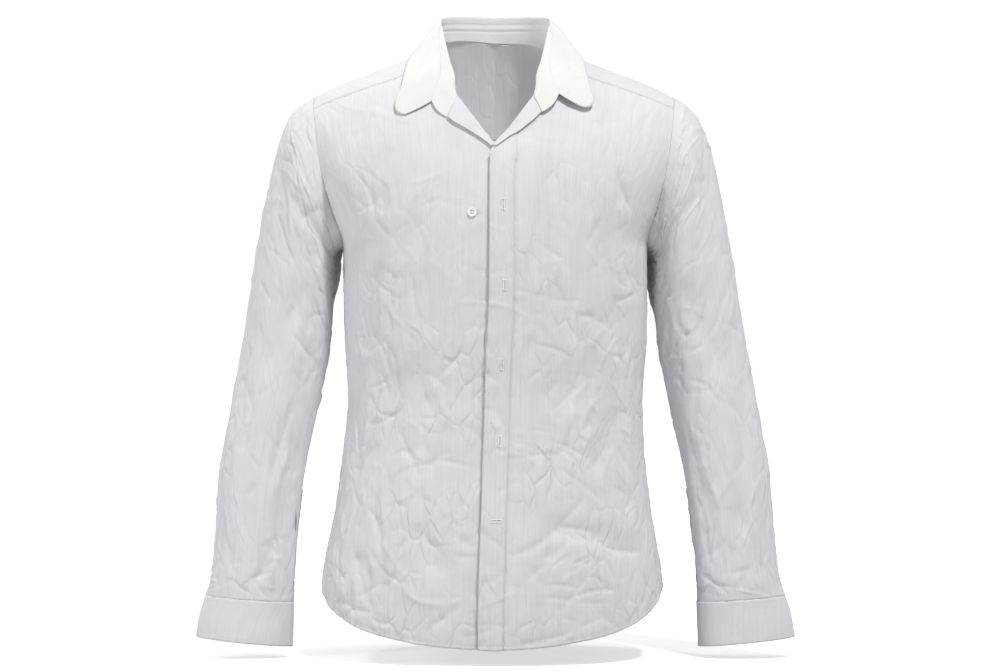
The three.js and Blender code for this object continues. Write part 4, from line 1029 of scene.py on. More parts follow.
yoke_row = fine_steps((YOKE_ROWS, FINE_YOKE))
yoke_column = fine_steps((YOKE_NECK_COLUMNS + FRONT_COLUMNS, FINE_YOKE_ROUND))
halves = [yoke_half(side, yoke_row, yoke_column) for side in (1, -1)]
plain = np.concatenate([halves[0][:, ::-1], halves[1][:, 1:]], 1)
u, v = cloth_lengths(plain)
edge = np.minimum(np.minimum(u, u[:, -1:] - u), np.minimum(v, v[-1:] - v))
over = plain[..., 1] - plain[..., 2]
depth = smooth(edge, 0, SEAM_FADE) * YOKE_CRUSH * net_depth(plain[..., 0], over, YOKE_SEED)
on_shoulder = smooth(np.abs(plain[:1, :, 0]), NECK_HALF_WIDTH, NECK_HALF_WIDTH + NECK_FADE)
depth += puckers(u, v[-1:] - v, seed=22) + on_shoulder * puckers(u, v, seed=23)
yoke_grid = plain - normals_of(plain) * depth[..., None]
yoke = solidify(new_mesh("shoulder_yoke", [yoke_grid], [grain(yoke_grid, 0)]), GREY_WALL)
sew("grey", yoke_grid, normals_of(plain), YOKE_STITCH, "bottom", "top")

# %% [markdown]
# ## Sleeves, slit bands and cuffs
#
# A sleeve is a tube of oval sections from the armhole to the wrist. Above the cuff it has a
# slit with a narrow band. The cuff is a straight band of two layers that laps over itself.

# %% Sections of a sleeve
SLEEVE = table(
    "k outer_x outer_z inner_x inner_z front back forward",
    (0, 236, -62, 195.5, -246, 60, 58, 0),
    (1, 254, -82, 198, -256, 61, 60, 0),
    (2, 267, -114, 198.5, -272, 60, 61, -1),
    (3, 278, -158, 198.5, -295, 58, 60, -2),
    (4, 289, -214, 199.5, -323, 55, 58, -3),
    (5, 300, -276, 202.5, -358, 52, 55, -4),
    (6, 309, -338, 209.5, -398, 50, 52, -4),
    (7, 319.5, -398, 219, -444, 47, 49, -2),
    (8, 331, -460, 230, -494, 44, 45, 2),
    (9, 341, -524, 238, -546, 40, 40, 7),
    (10, 346, -588, 245.5, -601, 35, 35, 12),
    (11, 351, -638, 249.5, -648, 30, 30, 15),
    (12, 359.5, -669, 251.5, -677, 27, 26, 16),
)
CUFF = table(
    "k outer_x outer_z inner_x inner_z front back forward",
    (0, 359.5, -669, 251.5, -677, 27, 26, 16),
    (1, 367, -694, 252.5, -704, 27, 26, 17),
    (2, 371, -720, 253.5, -732, 27, 26, 18),
)
SLEEVE_STEPS, SLEEVE_CROWDING, SLEEVE_LENGTH = 18, 1.12, 640
WRIST_LEAN, LEAN_FROM_Z, LEAN_FULL_Z = -3.5, -480, -680
CUFF_WALL = 1.6
CUFF_LIFT, CUFF_START, CUFF_LAP, CUFF_LAP_EASE = CUFF_WALL + 0.4, 190, 42, 8


def section_at(sections, share, side):
    """The section at a share of the way along a table, with the right wrist's lean."""
    place = share * (len(sections["k"]) - 1)
    section = {name: lookup(sections, "k", place, name) for name in sections if name != "k"}
    lean = WRIST_LEAN * smooth(-section["outer_z"], -LEAN_FROM_Z, -LEAN_FULL_Z) * (side < 0)
    section["outer_x"] = section["outer_x"] + lean
    section["inner_x"] = section["inner_x"] + lean
    return section


def section_point(side, section, degrees, lift=0):
    """A point of a section: degrees round it from its outer end, through the front."""
    angle = np.radians(degrees)
    middle_x = (section["outer_x"] + section["inner_x"]) / 2
    middle_z = (section["outer_z"] + section["inner_z"]) / 2
    half_x, half_z = section["outer_x"] - middle_x, section["outer_z"] - middle_z
    longer = 1 + lift / np.hypot(half_x, half_z)
    deep = np.where(np.sin(angle) > 0, section["front"], section["back"]) + lift
    x = side * (middle_x + half_x * longer * np.cos(angle))
    z = middle_z + half_z * longer * np.cos(angle)
    return np.stack(np.broadcast_arrays(x, -section["forward"] - deep * np.sin(angle), z), -1)


def sleeve_grid(side, step, degrees):
    share = np.clip((step - 1) / (SLEEVE_STEPS - 1), 0, 1)[:, None] ** SLEEVE_CROWDING
    tube = section_point(side, section_at(SLEEVE, share, side), degrees[None])
    arm = armhole_point(side, degrees)[None]
    return mix(arm, tube, np.clip(step, 0, 1)[:, None, None])


# %% Make the sleeves and their slit bands
FINE_SLEEVE, SLEEVE_AROUND, SLEEVE_GIRTH = 14, 132, 330
SLEEVE_CRUSH, CUFF_GATHER, SLEEVE_SEED, FACING = 1.4, 1.6, 40, (0, 0.4)
STREWN_SEED, NET_SEED, CUFF_SEED = 81, 31, 51
# Slack cloth under the arm bulges behind the body's side, down to these heights.
UNDERARM_FILL, UNDERARM_DEGREES, UNDERARM_REACH = 13, 213, 20
UNDERARM_TOP, UNDERARM_LOW, UNDERARM_FADE = (225, 245), {"left": 335, "right": 315}, (-45, 10)
SLIT_STEPS, SLIT_DEGREES, SLIT_WALL = 4, (179, 197), 0.7
slit_bands, sleeves = {}, {}
step = fine_steps((SLEEVE_STEPS, FINE_SLEEVE))
degrees = np.linspace(ARM_BACK, ARM_BACK + 360, SLEEVE_AROUND + 1)
for name, side in (("left", 1), ("right", -1)):
    plain = sleeve_grid(side, step, degrees)
    outward = -normals_of(plain) * side
    x, z = plain[..., 0], plain[..., 2]
    round_degrees = np.broadcast_to(degrees % 360, x.shape)
    down = np.broadcast_to(step[:, None] / SLEEVE_STEPS * SLEEVE_LENGTH, x.shape)
    ahead, behind = smooth(-outward[..., 1], *FACING), smooth(outward[..., 1], *FACING)
    depth = run_depth(round_degrees, down, FOLDS_SLEEVE, False)
    depth += RUN_GAIN * ahead * run_depth(x, z, CREASES_FRONT, True)
    depth += RUN_GAIN * behind * run_depth(x, z, CREASES_BACK, True)
    small = strewn(STREWN_SEED + side, STREWN_SLEEVE, (0, 0), (SLEEVE_GIRTH, SLEEVE_LENGTH))
    around = round_degrees / 360 * SLEEVE_GIRTH
    for shift in (-SLEEVE_GIRTH, 0, SLEEVE_GIRTH):
        depth += SLEEVE_CRUSH * run_depth(around + shift, down, small, True)
    depth += SLEEVE_CRUSH * net_depth(around, down, NET_SEED + side, wrap=SLEEVE_GIRTH)
    u, v = cloth_lengths(plain)
    ends = np.minimum(v, v[-1:] - v)
    depth = depth * seam_hold(ends) + puckers(u, v, SLEEVE_SEED + side)
    depth += CUFF_GATHER * puckers(u, v[-1:] - v, SLEEVE_SEED + 3 + side)
    grid = plain - outward * depth[..., None]
    fade = [UNDERARM_LOW[name] + more for more in UNDERARM_FADE]
    under = smooth(-z, *UNDERARM_TOP) * (1 - smooth(-z, *fade))
    off = (round_degrees - UNDERARM_DEGREES) / UNDERARM_REACH
    grid[..., 0] -= side * UNDERARM_FILL * under * np.exp(-(off**2))
    grid[:, -1] = grid[:, 0]
    uv = np.stack([u - u[:, [SLEEVE_AROUND // 3]], -v], -1) * MM
    piece = new_mesh(f"{name}_sleeve", [grid[:, ::-side]], [uv[:, ::-side]])
    sleeves[name] = dict(piece=solidify(piece, GREY_WALL), grid=grid, outward=outward)
    rows = step >= SLEEVE_STEPS - SLIT_STEPS
    columns = (degrees >= SLIT_DEGREES[0]) & (degrees <= SLIT_DEGREES[1])
    raised = (grid + outward * (BAND_GAP + SLIT_WALL))[rows][:, columns][:, ::-side]
    slit_bands[name] = solidify(new_mesh(f"{name}_slit_band", [raised]), SLIT_WALL)

# %% Make the cuffs
FINE_CUFF, CUFF_AROUND = 22, 168
CUFF_BUTTON_DEGREES, CUFF_BUTTON_PLACE = CUFF_START + CUFF_LAP - 12, 0.5
NEXT_DEGREES, NEXT_PLACE, CUFF_CRUSH = 5, 0.2, 0.35


def cuff_spot(side, place, degrees):
    """A point of the cuff's upper layer, by the share of the way down it and degrees round it."""
    return section_point(side, section_at(CUFF, place, side), degrees, CUFF_LIFT)


cuffs, cuff_seats = {}, {}
share = np.linspace(0, 1, FINE_CUFF + 1)[:, None]
turn = np.linspace(0, 360 + CUFF_LAP, CUFF_AROUND + 1)
lift = CUFF_LIFT * smooth(turn, 360 - CUFF_LAP, 360 - CUFF_LAP_EASE)
for name, side in (("left", 1), ("right", -1)):
    plain = section_point(side, section_at(CUFF, share, side), CUFF_START + turn[None], lift)
    outward = -normals_of(plain) * side
    u, v = cloth_lengths(plain)
    around = (CUFF_START + turn) % 360 / 360 * SLEEVE_GIRTH
    depth = CUFF_CRUSH * net_depth(np.broadcast_to(around, u.shape), v, CUFF_SEED + side, wrap=SLEEVE_GIRTH)
    seat = cuff_spot(side, CUFF_BUTTON_PLACE, CUFF_BUTTON_DEGREES)
    onward = cuff_spot(side, CUFF_BUTTON_PLACE, CUFF_BUTTON_DEGREES + NEXT_DEGREES)
    lower = cuff_spot(side, CUFF_BUTTON_PLACE + NEXT_PLACE, CUFF_BUTTON_DEGREES)
    cuff_seats[name] = (seat, unit(np.cross(onward - seat, lower - seat) * side))
    depth *= smooth(np.linalg.norm(plain - seat, axis=2), CALM_NEAR, CALM_FAR)
    grid = plain - outward * depth[..., None]
    sew("grey", grid, outward, CUFF_STITCH, "bottom", "top")
    sew("grey", grid, outward, LAP_STITCH, "last")
    piece = new_mesh(f"{name}_cuff", [grid[:, ::-side]])
    cuffs[name] = solidify(piece, CUFF_WALL)

# %% [markdown]
# ## Collar
#
# The stand goes round the neck, and both its ends are turned out with the fronts. The leaf
# folds down over it behind and flows on from its turned-out ends in front. Both are two
# layers of stiff white cotton, made section by section round one set of smooth curves.


# %% Curves of the collar
def spline(points, count):
    """Points at even shares of a centripetal Catmull-Rom curve."""
    points = np.array(points, float)
    padded = np.concatenate([[2 * points[0] - points[1]], points, [2 * points[-1] - points[-2]]])
    place = np.linspace(0, len(points) - 1, count)
    i = np.minimum(place.astype(int), len(points) - 2)
    t = (place - i)[:, None]
    p0, p1, p2, p3 = (padded[i + k] for k in range(4))
    d0, d1, d2 = (np.linalg.norm(b - a, axis=1)[:, None] ** 0.5 for a, b in ((p0, p1), (p1, p2), (p2, p3)))
    t1 = ((p1 - p0) / d0 - (p2 - p0) / (d0 + d1) + (p2 - p1) / d1) * d1
    t2 = ((p2 - p1) / d1 - (p3 - p1) / (d1 + d2) + (p3 - p2) / d2) * d1
    return p1 + t1 * t + (3 * (p2 - p1) - 2 * t1 - t2) * t**2 + (2 * (p1 - p2) + t1 + t2) * t**3


HALFWAY = None
COLLAR = [  # neck degrees or seam point, crest, join, edge, bulge, from the back to the end
    ((0, 75, 24), (0, 74.5, 38.5), (0, 73, 52.5), (0, 92, 12), 9),
    (32, HALFWAY, (37, 60, 51.8), (47, 79, 9), 9),
    (60, HALFWAY, (58, 36, 48.6), (79, 54, 4), 8),
    (82, HALFWAY, (67, 9, 43), (99, 22, -1), 6),
    (95, HALFWAY, (67.5, -12, 36.5), (105.5, -6, -4), 5),
    (104, (66, -29, 27.5), (69, -29, 27), (109, -35, -17), 4.5),
    (115, (62, -48, 12), (69, -48, 10), (112, -55, -33), 4),
    (127, (56.5, -68, -13), (67, -64, -10), (115, -69, -50), 3.5),
    (134, (51.5, -81, -36), (67, -76, -28), (119, -78, -64), 3),
    ((46.7, -90.8, -60.3), (58, -88, -48), (70, -83, -40), (116, -84.5, -72), 2.5),
    ((51.3, -95.8, -70.6), (63, -92, -59), (73.5, -87, -48), (110, -87, -74), 2),
    ((55.8, -100, -80.8), (69, -97, -71.5), (76.5, -90, -57.5), (104, -89, -73), 1.5),
]
RIGHT_END = table(  # how much lower, in its last rows, the wearer's right half ends
    "row seam join edge out",
    (0, 0, 0, 0, 0),
    (7, 0, 0, 0, 0),
    (8, 0, 1, 2, 2),
    (9, 2, 4, 6, 4),
    (10, 4.5, 7, 8, 4),
    (11, 7, 9, 9, 4),
)
LEAF_FOLD, LEAF_OVERLAP = 6.5, 0.2
STAND_LAP, STAND_LIFT = -3.6, 0.3  # from the neck seam to the stand's edge, behind and in front
TURNED_FROM, TURNED_FULL = 0.38, 0.52
FOLD_CONTROL, FLOW_CONTROL, FLOW_SHARE, BULGE_RISE = 0.42, 0.35, 0.8, 0.8
COLLAR_SECTIONS = 321


def collar_curves(count):
    """Seam, crest, join and edge all round, and how much the leaf bulges."""
    rows = []
    for side in (-1, 1):
        half = []
        for k, (seam, crest, join, edge, bulge) in enumerate(COLLAR):
            low = {name: lookup(RIGHT_END, "row", k, name) * (side < 0) for name in RIGHT_END}
            place = lambda p, drop, out=0: np.array([NECK_MIDDLE + side * (p[0] + out), p[1], p[2] - drop])
            seam = place(seam, low["seam"]) if isinstance(seam, tuple) else neck_point(side, seam)
            join = place(join, low["join"])
            middle = (low["seam"] + low["join"]) / 2
            crest = (seam + join) / 2 if crest is HALFWAY else place(crest, middle)
            half.append((seam, crest, join, place(edge, low["edge"], low["out"])))
        rows += half[::-1] if side < 0 else half[1:]
    seam, crest, join, edge = (spline(points, count) for points in zip(*rows))
    share = np.abs(np.linspace(-1, 1, count))
    bulges = table("share bulge", *[(k / (len(COLLAR) - 1), row[4]) for k, row in enumerate(COLLAR)])
    return seam, crest, join, edge, lookup(bulges, "share", share, "bulge"), share


def bend(a, control, b, t):
    t = t[:, None, None]
    return (1 - t) ** 2 * a + 2 * t * (1 - t) * control + t**2 * b


def bend_twice(a, first, second, b, t):
    t = t[:, None, None]
    near = (1 - t) ** 3 * a + 3 * t * (1 - t) ** 2 * first
    return near + 3 * t**2 * (1 - t) * second + t**3 * b


# %% Make the stand and the leaf
WHITE_WALL = 1.6
STAND_FINE, LEAF_FINE, LEAF_CROWDING = 30, 32, 1.3
STAND_ROWS = table("place reach most", (8.5, 1.2, 0.5), (13.5, 1.0, -0.4), (17, 1.2, 0.5))
STAND_CRUSH, STAND_SEED, STAND_EASE = 0.2, 61, (0, 8)
LEAF_CRUSH, LEAF_SEED, LEAF_EASE, EDGE_EASE = 0.3, 67, (0, 10), (-6, 10)
LAP_SHARES, ROW_SHARES = (0.5, 0.7), (0.35, 0.5)  # from the middle of the back, 0, to the ends, 1
TIP_FROM, TIP_SHARE, TIP_LIFT = 0.8, 0.6, np.array([0, -1, -1.5])
LEAF_STITCH, STAND_STITCH, WHITE_LIFT = 5, 3, WHITE_WALL / 2 + STITCH_LIFT
seam, crest, join, edge, bulge, share = collar_curves(COLLAR_SECTIONS)
control = 2 * crest - (seam + join) / 2
start = seam + unit(control - seam) * mix(STAND_LAP, STAND_LIFT, smooth(share, *LAP_SHARES))[:, None]
plain = bend(start, control, join, np.linspace(0, 1, STAND_FINE + 1))
u, v = cloth_lengths(plain)
ease = smooth(np.minimum(v, v[-1:] - v), *STAND_EASE)
depth = ease * STAND_CRUSH * net_depth(u, v, STAND_SEED)
behind = 1 - smooth(share, *ROW_SHARES)
for place, reach, most in zip(*STAND_ROWS.values()):
    depth += behind * most * np.exp(-(((v[-1:] - v - place) / reach) ** 2))
stand_grid = plain + normals_of(plain) * depth[..., None]
stand = solidify(new_mesh("stand", [stand_grid]), WHITE_WALL, offset=0)

onward = unit(join - control)
turned = smooth(share, TURNED_FROM, TURNED_FULL)[:, None]
start = join - onward * LEAF_OVERLAP
outward = start - np.array([NECK_MIDDLE, NECK_CENTRE_Y, 0])
outward[:, 2] = 0
folded = mix(start, edge, FOLD_CONTROL) + unit(outward) * bulge[:, None]
folded[:, 2] += bulge * BULGE_RISE
flowing = start + onward * FLOW_CONTROL * np.linalg.norm(edge - join, axis=1, keepdims=True)
leaf_control = mix(folded, flowing, turned * FLOW_SHARE)
straight = mix(start, edge, TIP_SHARE) + TIP_LIFT
leaf_control = mix(leaf_control, straight, smooth(share, TIP_FROM, 1)[:, None])
rising = mix(start + onward * LEAF_FOLD, mix(start, leaf_control, 2 / 3), turned)
down = np.linspace(0, 1, LEAF_FINE + 1) ** LEAF_CROWDING
plain = bend_twice(start, rising, mix(edge, leaf_control, 2 / 3), edge, down)
u, v = cloth_lengths(plain)
ease = smooth(v, *LEAF_EASE) * smooth(v[-1:] - v, *EDGE_EASE)
depth = ease * LEAF_CRUSH * net_depth(u, v, LEAF_SEED)
leaf_grid = plain + normals_of(plain) * depth[..., None]
leaf = solidify(new_mesh("leaf", [leaf_grid]), WHITE_WALL, offset=0)
for face in (1, -1):
    sew("white", leaf_grid, normals_of(leaf_grid) * face, LEAF_STITCH, "bottom", lift=WHITE_LIFT)
    sew("white", stand_grid, normals_of(stand_grid) * face, STAND_STITCH, "top", lift=WHITE_LIFT)

# %% [markdown]
# ## Buttonholes
#
# A buttonhole is a ring of stitches laid flat on the band: two long rows, and a short one at
# each end. The lowest one lies level, as is usual.

# %% Sew the buttonholes
HOLE_LENGTH, HOLE_GAP, HOLE_STITCH, HOLE_PITCH = 12.6, 1.55, 2.0, 0.7
HOLE_THREAD, HOLE_LIFT, CUT_LOWER, CUT_SHORTER, CUT_WIDTH = 0.9, 0.5, 0.3, 2, 0.4
TINY = 0.01  # so that a row of places takes in its own end
EYELET_AT, EYELET_LIFT, EYELET_RADIUS = (-3.6, -134.4), 0.4, 1.7
EYELET_STITCHES, EYELET_LENGTH, EYELET_WIDTH = 9, 1.6, 0.8
# Painted shade in the right sleeve's slit, a dark bead: its place, lift, way, length and width, and the
# degrees round the sleeve it is sought in.
SLIT_SHADE_AT, SLIT_SHADE_LIFT, SLIT_SHADE_AHEAD = (-244.5, -578), 1.0, np.array([6.0, 0, -32])
SLIT_SHADE_LENGTH, SLIT_SHADE_WIDTH, SLIT_SHADE_DEGREES = 32, 2.2, (100, 178)


def seat_on(grid, outward, x, z, lift):
    """A place on a piece of cloth, lifted off it, and the way it faces."""
    nearest = np.unravel_index(np.hypot(grid[..., 0] - x, grid[..., 2] - z).argmin(), grid.shape[:2])
    point, facing = grid[nearest], outward[nearest]
    aside = np.array([x - point[0], 0, z - point[2]])
    return point + aside - facing * (aside @ facing) + facing * lift, facing


def lay(thread, places, facing, ahead, length, width):
    """Stitches at some places, all laid ahead and facing one way."""
    places = np.atleast_2d(places)
    count = len(places)
    ways = np.tile(ahead, (count, 1)), np.tile(facing, (count, 1))
    threads[thread].append((places, *ways, np.full(count, length), np.full(count, width)))


run = np.arange(-HOLE_LENGTH / 2, HOLE_LENGTH / 2 + TINY, HOLE_PITCH)
bar = np.arange(-HOLE_GAP, HOLE_GAP + TINY, HOLE_PITCH)
for x, z, upright in zip(*BUTTONHOLES.values()):
    seat, facing = seat_on(band_grid, band_outward, x, z, HOLE_LIFT)
    up = unit(-np.cross(facing, (1, 0, 0)))
    level = unit(np.cross(up, facing))
    ahead, aside = (up, level) if upright else (level, up)
    for end in (-1, 1):
        long_row = seat + np.outer(run, ahead) + end * HOLE_GAP * aside
        lay("white", long_row, facing, aside, HOLE_STITCH, HOLE_THREAD)
    for end in (-1, 1):
        short_row = seat + end * HOLE_LENGTH / 2 * ahead + np.outer(bar, aside)
        lay("white", short_row, facing, ahead, HOLE_STITCH, HOLE_THREAD)
    lay("grey", seat - facing * CUT_LOWER, facing, ahead, HOLE_LENGTH - CUT_SHORTER, CUT_WIDTH)

# A worked eyelet near the top of the band.
seat, facing = seat_on(band_grid, band_outward, *EYELET_AT, EYELET_LIFT)
for angle in np.linspace(0, 2 * np.pi, EYELET_STITCHES, endpoint=False):
    spoke = np.array([math.cos(angle), 0, math.sin(angle)])
    round_it = np.cross(facing, spoke)
    lay("white", seat + EYELET_RADIUS * spoke, facing, round_it, EYELET_LENGTH, EYELET_WIDTH)
# The slit of the wearer's right sleeve gapes a little above its band. A dark bead of "cut" thread there is
# painted shade: it stands for the shade inside the gap.
inner = (degrees % 360 > SLIT_SHADE_DEGREES[0]) & (degrees % 360 < SLIT_SHADE_DEGREES[1])
sleeve = sleeves["right"]
seat, facing = seat_on(sleeve["grid"][:, inner], sleeve["outward"][:, inner], *SLIT_SHADE_AT, SLIT_SHADE_LIFT)
ahead = unit(SLIT_SHADE_AHEAD - facing * (SLIT_SHADE_AHEAD @ facing))
lay("cut", seat, facing, ahead, SLIT_SHADE_LENGTH, SLIT_SHADE_WIDTH)
print({thread: sum(len(part[0]) for part in parts) for thread, parts in threads.items()}, "stitches")

# %% [markdown]
# ## Buttons
#
# One button is modelled as a disc with a dish and four drilled holes, and its edges are
# rounded. Each copy has a mesh of its own, lies on its cloth, and is held by two bars of thread.

# %% Model one button, then copy it
BUTTON_RADIUS, BUTTON_THICKNESS, BUTTON_LIFT = 5.5, 1.5, 0.3
HOLE_RADIUS, HOLE_PLACE, BUTTON_RIM = 0.75, 1.35, 1.5
DISH_DEPTH, DRILL_LENGTH, EDGE_ROUNDING = 0.5, 4, 0.25
BUTTON_SIDES, DISH_RINGS, HOLE_SIDES = 36, 18, 12
BAR_TILT, BAR_SUNK, BAR_LONGER, BAR_WIDTH = math.radians(10), 0.35, 1, 0.7
bpy.ops.mesh.primitive_cylinder_add(
    vertices=BUTTON_SIDES, radius=BUTTON_RADIUS * MM, depth=BUTTON_THICKNESS * MM
)
model = bpy.context.object
model.name = "button_model"
bpy.ops.mesh.primitive_uv_sphere_add(segments=BUTTON_SIDES, ring_count=DISH_RINGS, radius=1)
dish = bpy.context.object
dish_radius = (BUTTON_RADIUS - BUTTON_RIM) * MM
dish.scale = (dish_radius, dish_radius, DISH_DEPTH * MM)
dish.location = (0, 0, BUTTON_THICKNESS / 2 * MM)
bpy.ops.object.transform_apply(location=True, rotation=False, scale=True)
cutters = [dish]
for x in (-HOLE_PLACE, HOLE_PLACE):
    for y in (-HOLE_PLACE, HOLE_PLACE):
        place = (x * MM, y * MM, 0)
        bpy.ops.mesh.primitive_cylinder_add(
            vertices=HOLE_SIDES, radius=HOLE_RADIUS * MM, depth=DRILL_LENGTH * MM, location=place
        )
        cutters.append(bpy.context.object)
for cutter in cutters:
    cut = model.modifiers.new("cut", "BOOLEAN")
    cut.operation, cut.object, cut.solver = "DIFFERENCE", cutter, "EXACT"
rounding = model.modifiers.new("rounding", "BEVEL")
rounding.width, rounding.segments, rounding.limit_method = EDGE_ROUNDING * MM, 2, "ANGLE"
apply_modifiers(model)
for cutter in cutters:
    bpy.data.objects.remove(cutter)

right = fronts["right_front"]
seats = {
    f"front_{k + 1}": seat_on(right["grid"], right["outward"], x, z, BUTTON_LIFT)
    for k, (x, z) in enumerate(zip(*BUTTONS.values()))
}
for name, (seat, facing) in cuff_seats.items():
    seats[f"cuff_{name}"] = (seat + facing * BUTTON_LIFT, facing)
buttons = {}
for name, (seat, facing) in seats.items():
    copy = model.copy()
    copy.data = model.data.copy()
    copy.name = f"{name}_button"
    bpy.context.scene.collection.objects.link(copy)
    turn_to = Vector(facing).to_track_quat("Z", "Y").to_matrix().to_4x4()
    middle = seat + facing * BUTTON_THICKNESS / 2
    copy.data.transform(Matrix.Translation(Vector(middle) * MM) @ turn_to)
    buttons[name] = copy
    ahead = np.array(turn_to.to_3x3() @ Vector((math.cos(BAR_TILT), math.sin(BAR_TILT), 0)))
    top = middle + facing * (BUTTON_THICKNESS / 2 - BAR_SUNK)
    places = top + np.outer((-HOLE_PLACE, HOLE_PLACE), np.cross(facing, ahead))
    lay("cut", places, facing, ahead, 2 * HOLE_PLACE + BAR_LONGER, BAR_WIDTH)
print(f"{len(buttons)} buttons of {len(model.data.polygons)} faces each")
bpy.data.objects.remove(model)

# %% [markdown]
# ## Materials
#
# The grey cloth is a fine white and grey stripe in the warp, so its pattern follows the UV map
# of the cloth, with streaks along the threads, a woven bump and a little sheen. Its finest
# crush lines are the edges of stretched cells, stronger towards the hem. The white cotton is
# denser and smoother. Buttons are polished shell with a faint cloud in it, as is the thread.


# %% Nodes of a material
def shader(name, roughness, sheen=0.0, coat=0.0):
    material = bpy.data.materials.new(name)
    material.use_nodes = True
    surface = material.node_tree.nodes["Principled BSDF"]
    surface.inputs["Roughness"].default_value = roughness
    surface.inputs["Sheen Weight"].default_value = sheen
    surface.inputs["Sheen Roughness"].default_value = 0.5
    surface.inputs["Coat Weight"].default_value = coat
    surface.inputs["Specular IOR Level"].default_value = 0.3
    return material, material.node_tree, surface


def add(tree, kind, feeds=None, **values):
    """A node with some values, and with sockets of other nodes fed into its inputs."""
    node = tree.nodes.new(kind)
    for key, value in values.items():
        if key in node.inputs:
            node.inputs[key].default_value = value
        else:
            setattr(node, key, value)
    for key, socket in (feeds or {}).items():
        tree.links.new(socket, node.inputs[key])
    return node


def mapped(tree, place, scale, rotation=0):
    feeds = {"Vector": place}
    values = {"Scale": scale, "Rotation": (0, 0, rotation)}
    return add(tree, "ShaderNodeMapping", feeds, **values).outputs["Vector"]


def cloud(tree, place, scale, detail, output="Fac", **values):
    feeds = {"Vector": place}
    return add(tree, "ShaderNodeTexNoise", feeds, Scale=scale, Detail=detail, **values).outputs[output]


def ranged(tree, value, from_min, from_max, to_min=0.0, to_max=1.0):
    limits = {"From Min": from_min, "From Max": from_max, "To Min": to_min, "To Max": to_max}
    return add(tree, "ShaderNodeMapRange", {"Value": value}, **limits).outputs["Result"]


def times(tree, first, second):
    feeds = {0: first, 1: second}
    return add(tree, "ShaderNodeMath", feeds, operation="MULTIPLY").outputs["Value"]


def blend(tree, kind, factor, first, second):
    feeds, values = {"A": first, "B": second}, {"blend_type": kind, "Factor": factor}
    return add(tree, "ShaderNodeMix", feeds, data_type="RGBA", **values).outputs["Result"]


def ramp(tree, value, low, high, dark, light):
    node = add(tree, "ShaderNodeValToRGB", {"Fac": value})
    for stop, place, colour in zip(node.color_ramp.elements, (low, high), (dark, light)):
        stop.position, stop.color = place, (*colour, 1)
    return node.outputs["Color"]


def bump(tree, height, strength, distance, under=None):
    feeds = {"Height": height} if under is None else {"Height": height, "Normal": under}
    return add(tree, "ShaderNodeBump", feeds, Strength=strength, Distance=distance).outputs["Normal"]


# %% Cotton, pearl and thread
STREAKS, BANDS = (640, 12, 1), (130, 5, 1)  # noise to each metre of cloth, across and along
STRIPE = 0.2  # half the range of noise between the two greys of the stripe
BAND_SHARE, CLOUD_SHARE = 0.15, 0.12
CELL_WARP, CELL_STRETCH, CELL_TURN, CELL_EDGE = (0.008, 0.008, 0), (1, 0.45, 1), 0.3, 0.1
CELL_PATCHES = (0.42, 0.64)
CLOUDS, WEAVE, WARP, CELLS, PATCHES = 28.0, 900.0, 40.0, 54.0, 14.0  # noise to each metre
SHADE_RANGE = (0.35, 0.65)
CRUSH_BY_HEIGHT = (-0.2, -0.55, 0.35, 1.0)


def cotton(name, light, dark, weave_depth, crease_depth):
    """Woven cotton on the cloth UV map: streaks along the threads, a fine weave, crush lines."""
    material, tree, surface = shader(name, 0.86, sheen=0.08)
    place = add(tree, "ShaderNodeUVMap", uv_map="cloth").outputs["UV"]
    streaks = cloud(tree, mapped(tree, place, STREAKS), 1.0, 3.0, Roughness=0.65)
    bands = cloud(tree, mapped(tree, place, BANDS), 1.0, 2.0)
    yarn = blend(tree, "MIX", BAND_SHARE, streaks, bands)
    stripes = ramp(tree, yarn, 0.5 - STRIPE, 0.5 + STRIPE, dark, light)
    tone = blend(tree, "MULTIPLY", CLOUD_SHARE, stripes, cloud(tree, place, CLOUDS, 3.0))
    tree.links.new(tone, surface.inputs["Base Color"])
    feeds = {0: cloud(tree, place, WARP, 1.0, "Color"), 2: place}
    moved = add(tree, "ShaderNodeVectorMath", feeds, operation="MULTIPLY_ADD")
    moved.inputs[1].default_value = CELL_WARP
    feeds = {"Vector": mapped(tree, moved.outputs["Vector"], CELL_STRETCH, CELL_TURN)}
    cells = add(tree, "ShaderNodeTexVoronoi", feeds, feature="DISTANCE_TO_EDGE", Scale=CELLS)
    edges = ranged(tree, cells.outputs["Distance"], 0.0, CELL_EDGE)
    patches = ranged(tree, cloud(tree, place, PATCHES, 1.0), *CELL_PATCHES)
    parts = add(tree, "ShaderNodeSeparateXYZ", {"Vector": place})
    lower = ranged(tree, parts.outputs["Y"], *CRUSH_BY_HEIGHT)
    creases = bump(tree, times(tree, times(tree, edges, patches), lower), 1.0, crease_depth)
    weave = bump(tree, cloud(tree, place, WEAVE, 2.0), 0.5, weave_depth, creases)
    tree.links.new(bump(tree, streaks, 0.4, weave_depth, weave), surface.inputs["Normal"])
    return material


def clouded(name, roughness, dark, light, scale, bump_depth, sheen=0.0, coat=0.0):
    """A material whose colour and relief vary with a cloud of noise, for pearl and for thread."""
    material, tree, surface = shader(name, roughness, sheen, coat)
    place = add(tree, "ShaderNodeTexCoord").outputs["Object"]
    shade = cloud(tree, place, scale, 2.0)
    tree.links.new(ramp(tree, shade, *SHADE_RANGE, dark, light), surface.inputs["Base Color"])
    tree.links.new(bump(tree, shade, 0.4, bump_depth), surface.inputs["Normal"])
    return material


